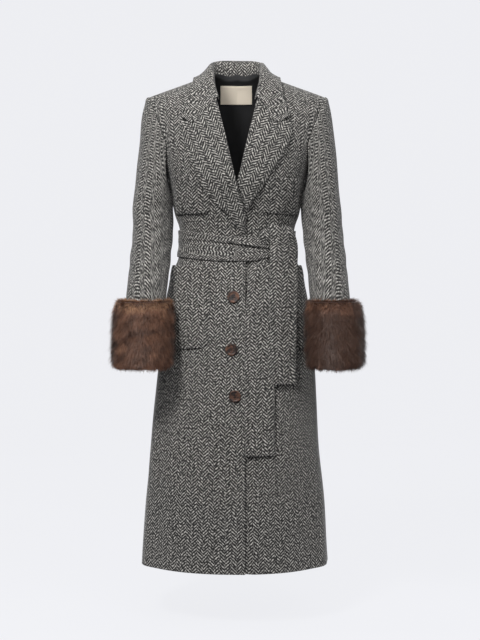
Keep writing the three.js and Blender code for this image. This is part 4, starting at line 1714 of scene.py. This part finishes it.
@dataclass
class Pockets:
    """Patch pockets with a turned hem at the mouth and pulled-in edges."""

    finishes: Finishes
    stitch_at: float = 6.0
    hem: float = 29.0
    puff: float = 1.5

    def make(self, side: Side, shape: PocketShape) -> bpy.types.Object:
        """Build one pocket.

        Args:
            side: Which side of the coat.
            shape: Its outline.

        Returns:
            The piece.
        """
        v = spaced(46, (0.01, 0.02, 0.04), (0.008, 0.02, 0.04))[:, None]
        u = spaced(36, (0.01, 0.025, 0.05), (0.01, 0.025, 0.05))[None, :]
        z = blend(shape.foot, shape.top, v)
        half = FORM.sections.smooth(z, "half")
        outer_x = np.minimum(shape.outer, half - 2.5)
        corner = np.clip((z - shape.foot) / shape.round, 0, 1)
        inner_x = shape.inner + shape.round * (1 - np.sqrt(1 - (1 - corner) ** 2))
        bowed = z + (shape.top - shape.foot) * 0.02 * (1 - v) * (2 * u - 1) ** 2
        start, _ = FORM.seen(inner_x, z)
        stop, _ = FORM.seen(outer_x, z)
        x = half * power(np.sin(blend(start, stop, u)), BODY_POWER)
        flat = points(x, 0 * x, bowed)
        across, along = arc_lengths(flat, 1), arc_lengths(flat, 0)
        sides = np.minimum(across, across[:, -1:] - across)
        foot, head = along, along[-1:] - along
        near = np.minimum(sides, foot)
        flare = shape.flare * ease(v, 0.7, 1.0) * ease(u, 0.35, 1.0)
        puff = self.puff * ease(near, 2.0, 30.0) + 0.7 * bumps(x, z, 70.0, 51 + side.value)
        sewn = edge_dip(near - self.stitch_at, 0.7, 1.6)
        hem = 0.55 * (1 - ease(head, 26.0, 30.0)) + edge_dip(head - self.hem, 0.5, 1.5)
        out = shape.lift + flare + np.maximum(puff, 0) + sewn + hem + edge_dip(near, 1.2, 2.2)
        outer = FORM.on_front(side.value * x, bowed, out + CLOTH)
        inner = FORM.on_front(side.value * x, bowed, out)
        uv = np.stack([x * side.value, bowed], -1) * MM
        name = f"cloth_{shape.kind}_pocket_{side.word}"
        wool = (self.finishes.wool,)
        return sew(Cloth(name, outer, inner, uv, wool), f"{shape.kind}_pocket_{side.word}")


@dataclass
class Sash:
    """Sash belt: band round the waist, knot, and two hanging ends."""

    finishes: Finishes
    middle: float = -387.0
    half: float = 31.0
    dip: float = 14.0
    slope: float = 9.0
    pinch: float = 6.0
    lift: float = 2.0
    girth_radius: float = 125.0
    tuck: float = 6.0
    knot: Table = field(default_factory=lambda: Table(
        "t z left right tilt out bulge",
        (0, -388, 50, 71.5, -8, 6.2, 0.8), (0.5, -371, 49.5, 71.5, 4, 8.2, 2),
        (1, -356, 50, 71, 16, 5.4, 1)))
    tail_front: Table = field(default_factory=lambda: Table(
        "t z left right tilt out bulge",
        (0, -711, 79, 128, 1, 8.8, 0), (0.25, -622, 76, 130, 0, 8.8, 1),
        (0.5, -533, 73, 131, 0, 9, 2), (0.72, -455, 72.5, 131, 4, 11, 3),
        (0.86, -403, 72.5, 129, -2, 14, 4), (0.95, -366, 72.5, 127, -4, 10, 3),
        (1, -346, 74, 124, -2, 1, 1)))
    tail_back: Table = field(default_factory=lambda: Table(
        "t z left right tilt out bulge",
        (0, -872, 19, 84, 0, 4.4, 0), (0.35, -718, 18.5, 83, 0, 4.4, 1),
        (0.7, -560, 19, 81.5, 0, 4.4, 1), (0.92, -462, 29, 80, 2, 4.4, 1),
        (1, -438, 37, 77, 4, 4.4, 1)))

    def band(self) -> bpy.types.Object:
        """Band round the waist: level ring that dips in front, with soft lengthwise folds.

        Returns:
            The piece.
        """
        angle = (np.linspace(0, math.tau, 289)[:-1])[None, :]
        v = spaced(46, (0.01, 0.03), (0.01, 0.03))[:, None]
        ahead = np.maximum(np.cos(angle), 0)
        slope = self.slope * np.sin(angle) * ahead
        degrees = np.degrees(angle)
        pinch = self.pinch * ease(degrees, 13.0, 28.0) * (1.0 - ease(degrees, 35.0, 60.0))
        z = (self.middle - self.dip * ahead**2 - slope * v
             + (2 * v - 1) * (self.half - 3.0 * ahead) + pinch * (1 - v))
        angle = np.broadcast_to(angle, z.shape)
        along, across = angle * self.girth_radius, v * 2 * self.half
        near = np.minimum(across, 2 * self.half - across)
        slack = 1.6 * np.sin(math.pi * v)
        drift = 8.0 * np.sin(angle * 2.0 + 0.6)
        fold = (1.5 * np.sin((across + drift) * 0.22 + 1.2 * np.sin(angle * 3.0))
                * (0.5 + 0.5 * np.sin(angle * 5.0 + 1.0)))
        puck = 0.6 * bumps(along, across * 2.5, 55.0, 61)
        x = FORM.surface(angle, z - UNDERARM_Z)[..., 0]
        run = np.maximum(x + 129.0, 0.0)
        over = z + 376.0 + 0.085 * run + 0.0002 * run**2
        strong = (0.3 * ease(x, -150.0, -120.0) + 0.7 * ease(x, -66.0, 20.0)) * ahead
        strong = strong * (1.0 - ease(x, 74.0, 110.0))
        fading = np.exp(-np.maximum(over, 0.0) / 30.0)
        tuck = strong * (self.tuck * ease(over, -1.2, 1.2) * fading
                         + edge_dip(over + 3.0, 1.8, 4.0))
        calm = 1.0 - 0.7 * strong
        out = self.lift + slack + (fold + puck) * ease(near, 1.0, 12.0) * calm + tuck
        out = out + edge_dip(near, 0.6, 2.0) + ahead * edge_dip(x - 69.0, 5.0, 7.0)
        out = np.maximum(out, 0.8)
        height = z - UNDERARM_Z
        outer = FORM.moved(angle, height, out + CLOTH)
        inner = FORM.moved(angle, height, out)
        uv = np.stack([np.broadcast_to(across, z.shape), arc_lengths(outer, 1)], -1) * MM
        cloth = Cloth("cloth_belt_band", outer, inner, uv, (self.finishes.wool,), closed=True)
        return sew(cloth, "belt_band")

    def strip(self, name: str, node: str, rows: Table, size: tuple[int, int], seed: int,
              creases: Sequence[tuple[float, float, float]] = ()) -> bpy.types.Object:
        """A stretch of the sash lying on the front.

        Args:
            name: Name of the piece.
            node: Its solid.
            rows: Edges and standing-off by share of its length.
            size: Spaces across and along.
            seed: Seed of its unevenness.
            creases: Lengthwise troughs: share across, depth and width in shares.

        Returns:
            The piece.
        """
        v = spaced(size[1], (0.003, 0.008, 0.015), (0.003, 0.008, 0.015))[:, None]
        u = spaced(size[0], (0.02, 0.05, 0.09), (0.02, 0.05, 0.09))[None, :]
        x = blend(rows.smooth(v, "left"), rows.smooth(v, "right"), u)
        z = rows.smooth(v, "z") + rows.smooth(v, "tilt") * (u - 0.5)
        z = np.broadcast_to(z, x.shape)
        flat = points(x, 0 * x, z)
        across, along = arc_lengths(flat, 1), arc_lengths(flat, 0)
        near = np.minimum(across, across[:, -1:] - across)
        hem = np.minimum(near, along)
        out = rows.smooth(v, "out") + rows.smooth(v, "bulge") * np.sin(math.pi * u)
        out = out + 1.8 * ease(u, 0.8, 1.0) * (1.0 - ease(v, 0.6, 0.8))
        for share, depth, width in creases:
            wander = share + 0.03 * np.sin(v * 7.0 + share * 9.0)
            out = out + edge_dip(u - wander, depth, width) * ease(v, 0.05, 0.3)
        out = out + 0.7 * bumps(across, along, 60.0, seed) * ease(near, 1.0, 10.0)
        out = out + edge_dip(hem, 0.5, 1.6) + edge_dip(hem - 5.0, 0.5, 1.4)
        outer = FORM.on_front(x, z, out + CLOTH, 0.4)
        inner = FORM.on_front(x, z, out, 0.4)
        uv = np.stack([across, along], -1) * MM
        cloth = Cloth(name, outer, inner, uv, (self.finishes.wool,))
        return sew(cloth, node)

    def make(self) -> None:
        """Build all four stretches."""
        self.band()
        self.strip("cloth_belt_knot", "belt_knot", self.knot, (20, 50), 71,
                   ((0.35, 1.2, 0.12), (0.72, 1.4, 0.1)))
        self.strip("cloth_belt_tail_front", "belt_tail_front", self.tail_front, (30, 150), 72,
                   ((0.4, 1.4, 0.07), (0.7, 1.1, 0.06)))
        self.strip("cloth_belt_tail_back", "belt_tail_back", self.tail_back, (28, 150), 73,
                   ((0.55, 0.9, 0.07),))


@dataclass
class Buttons:
    """Three horn buttons with a raised rim and four holes."""

    finishes: Finishes
    radius: float = 14.0
    places: tuple[tuple[float, float], ...] = ((-8, -511), (-12, -631), (-4.5, -737))
    thick: float = 3.1
    hole_at: float = 3.1
    hole: float = 1.25
    hole_deep: float = 2.2
    diagonal: float = 1.4142

    def face(self, r: Array, turn: Array) -> Array:
        """Height of the button's face: a rim, a shallow dish and four holes.

        Args:
            r: Distance from its middle.
            turn: Angle round it.

        Returns:
            Height over its seat.
        """
        dish = self.thick + 1.35 * ease(r, 8.6, 10.8) - 1.5 * ease(r, 12.3, self.radius) ** 2
        x, y = r * np.cos(turn), r * np.sin(turn)
        middle = self.hole_at / self.diagonal
        for to_x, to_y in ((-1, -1), (-1, 1), (1, -1), (1, 1)):
            away = np.hypot(x - to_x * middle, y - to_y * middle)
            dish = dish - self.hole_deep * (1 - ease(away, self.hole * 0.7, self.hole * 1.15))
        return dish

    def make(self, index: int) -> bpy.types.Object:
        """Build one button on the front that lies on top.

        Args:
            index: Its place, from 0 at the top.

        Returns:
            The piece.
        """
        x, z = self.places[index]
        seat = FORM.on_front(x, z, 0.3)
        n = FORM.on_front(x, z, 1.0) - FORM.on_front(x, z, 0.0)
        n /= np.linalg.norm(n)
        right = np.cross(np.array([0.0, 0.0, 1.0]), n)
        right /= np.linalg.norm(right)
        up = np.cross(n, right)
        turn = np.linspace(0, math.tau, 97)[:-1][None, :]
        inside, outside = np.linspace(0, 6, 25)[1:], np.linspace(6.4, self.radius, 20)
        r = np.concatenate([inside, outside])[:, None]
        top = self.face(r, turn)
        lows = np.array([[self.radius, 1.4], [11.5, 0.0], [6.0, 0.0]])
        rr = np.concatenate([np.broadcast_to(r, top.shape),
                             np.broadcast_to(lows[:, :1], (3, top.shape[1]))])
        hh = np.concatenate([top, np.broadcast_to(lows[:, 1:], (3, top.shape[1]))])
        aa = np.broadcast_to(turn, rr.shape)
        grid = (seat + rr[..., None] * (np.cos(aa)[..., None] * right + np.sin(aa)[..., None] * up)
                + hh[..., None] * n)
        rows, cols = rr.shape
        ids = np.arange(rows * cols).reshape(rows, cols)
        nxt = np.roll(ids, -1, 1)
        quads = grid_quads(ids, nxt)[:, TURNED]
        middle, base = rows * cols, rows * cols + 1
        none = np.full(cols, -1)
        cap = np.stack([np.full(cols, middle), ids[0], nxt[0], none], -1)
        floor = np.stack([np.full(cols, base), nxt[-1], ids[-1], none], -1)
        verts = np.concatenate([grid.reshape(-1, 3), [seat + n * self.thick], [seat]])
        piece = make_object(f"horn_button_{index + 1}", verts,
                            np.concatenate([quads, cap, floor]), None, (self.finishes.horn,))
        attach(piece, "root")
        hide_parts(f"button_{index + 1}")
        log.info("button %d at %.0f, %.0f mm", index + 1, x, z)
        return piece


@dataclass
class Label:
    """Blank woven label on the lining, below the back neck."""

    finishes: Finishes
    left: float = -41.0
    right: float = 37.0
    foot: float = -45.0
    top: float = -2.5
    lift: float = 6.1

    def make(self) -> bpy.types.Object:
        """Build the label as a thin sheet with turned ends.

        Returns:
            The piece.
        """
        u = spaced(40, (0.01, 0.02), (0.01, 0.02))[None, :]
        v = spaced(24, (0.01, 0.03), (0.01, 0.03))[:, None]
        x = blend(self.left, self.right, u) + 0 * v
        z = blend(self.foot, self.top, v) + 0 * u
        edge = np.minimum(np.minimum(x - self.left, self.right - x),
                          np.minimum(z - self.foot, self.top - z))
        out = -self.lift - 0.35 * ease(edge, 0.2, 3.0) - 0.15 * bumps(x, z, 25.0, 83)
        face = FORM.on_back(x, z, out)
        rear = FORM.on_back(x, z, out + 0.7)
        centre = np.array([(self.left + self.right) / 2, (self.foot + self.top) / 2])
        uv = (np.stack([x, z], -1) - centre) * MM
        return sew(Cloth("woven_label", face, rear, uv, (self.finishes.ribbon,), rounding=0.2),
                   "label")


@dataclass
class Studio:
    """Pale backdrop, soft light and the camera of the photograph."""

    distance: float = 2.9
    eye: float = -0.449
    aside: float = 0.0072
    tilt: float = 2.36
    lens: float = 68.3
    floor: float = -1.27
    pale: Colour = (0.04, 0.04, 0.042)
    paper: Colour = (0.20, 0.20, 0.21)
    glow: Colour = (0.824, 0.83, 0.86)
    sky: Colour = (0.93, 0.95, 1.0)
    sky_strength: float = 0.30
    aim: tuple[float, float, float] = (0.0, 0.0, -0.55)
    lamps: tuple[tuple[str, tuple[float, float, float], float, float], ...] = (
        ("key", (-1.0, -1.95, 1.5), 0.6, 83.0), ("fill", (1.3, -2.0, 1.5), 1.5, 35.0),
        ("front", (-0.1, -3.0, 0.9), 1.4, 16.0), ("top", (0.0, -0.6, 2.2), 1.8, 12.0))

    def backdrop(self) -> None:
        """Floor that curves up into a wall behind."""
        run = np.concatenate([[-0.3, 0.4, 1.0, 1.6, 2.4], 3.0 + 2.0 * np.sin(
            np.linspace(0, QUARTER, 13)), [5.0]])
        rise = np.concatenate([np.zeros(5), 2.0 - 2.0 * np.cos(np.linspace(0, QUARTER, 13)),
                               [9.0]])
        side = np.linspace(-9, 9, 7)
        grid = points(side[None, :], run[:, None], self.floor + rise[:, None])
        rows, cols = grid.shape[:2]
        ids = np.arange(rows * cols).reshape(rows, cols)
        quads = grid_quads(ids[:, :-1], ids[:, 1:])
        g = Graph("backdrop_paper")
        grain = g.noise(g.place(), 3.0, 1.0)
        material = g.finish(Base_Color=g.mix(grain * 0.04, self.pale, self.paper),
                            Roughness=1.0, Specular_IOR_Level=0.0,
                            Emission_Color=(*self.glow, 1.0), Emission_Strength=1.0)
        make_object("backdrop", grid.reshape(-1, 3) / MM, quads, None, (material,))

    def lamp(self, name: str, at: tuple[float, float, float], size: float, watts: float) -> None:
        """Square soft light that looks at the coat.

        Args:
            name: Its name.
            at: Place in metres.
            size: Side in metres.
            watts: Power.
        """
        data = bpy.data.lights.new(name, "AREA")
        data.size = size
        data.energy = watts
        lamp = bpy.data.objects.new(name, data)
        lamp.location = at
        aim = np.array(self.aim) - np.array(at)
        yaw = math.atan2(aim[1], aim[0]) - QUARTER
        pitch = math.atan2(aim[2], math.hypot(aim[0], aim[1])) + QUARTER
        lamp.rotation_euler = (pitch, 0.0, yaw)
        bpy.context.scene.collection.objects.link(lamp)

    def camera(self) -> None:
        """Camera at the photograph's height, distance and field of view."""
        data = bpy.data.cameras.new("camera")
        data.lens = self.lens
        data.sensor_fit = "AUTO"
        data.sensor_width = 36.0
        camera = bpy.data.objects.new("camera", data)
        camera.location = (self.aside, -self.distance, self.eye)
        camera.rotation_euler = (QUARTER - math.radians(self.tilt), 0.0, 0.0)
        bpy.context.scene.collection.objects.link(camera)
        bpy.context.scene.camera = camera

    def make(self) -> None:
        """Set up backdrop, lights and camera."""
        self.backdrop()
        world = bpy.data.worlds.new("studio")
        world.use_nodes = True
        sky = world.node_tree.nodes["Background"]
        sky.inputs["Color"].default_value = (*self.sky, 1.0)
        sky.inputs["Strength"].default_value = self.sky_strength
        bpy.context.scene.world = world
        for lamp in self.lamps:
            self.lamp(*lamp)
        self.camera()
        bpy.context.scene.view_settings.view_transform = "Standard"


def main() -> None:
    """Build the coat piece by piece, then light it and frame it."""
    logging.basicConfig(level=logging.INFO, format="%(name)s: %(message)s")
    finishes = Finishes()
    panels = Panels(finishes)
    panels.back()
    for side in Side:
        panels.front(side)
    panels.lining()
    Label(finishes).make()
    lapels = Lapels(finishes)
    for shape in (lapels.right, lapels.left):
        lapels.make(shape)
    Collar(finishes).make()
    sleeves, pockets = Sleeves(finishes), Pockets(finishes)
    for side in Side:
        for top in (True, False):
            sleeves.make(side, top)
        for shape in (CHEST, HIP):
            pockets.make(side, shape)
    FurCuff(finishes, Side.RIGHT, 73.0, 217.5).make()
    # The wearer's left cuff is on the side away from the key light and gets painted shade: its
    # hairs are darkened.
    FurCuff(finishes, Side.LEFT, 68.5, 228.0, painted_shade=0.37).make()
    Sash(finishes).make()
    buttons = Buttons(finishes)
    for index in range(len(buttons.places)):
        buttons.make(index)
    Studio().make()


if __name__ == "__main__":
    main()
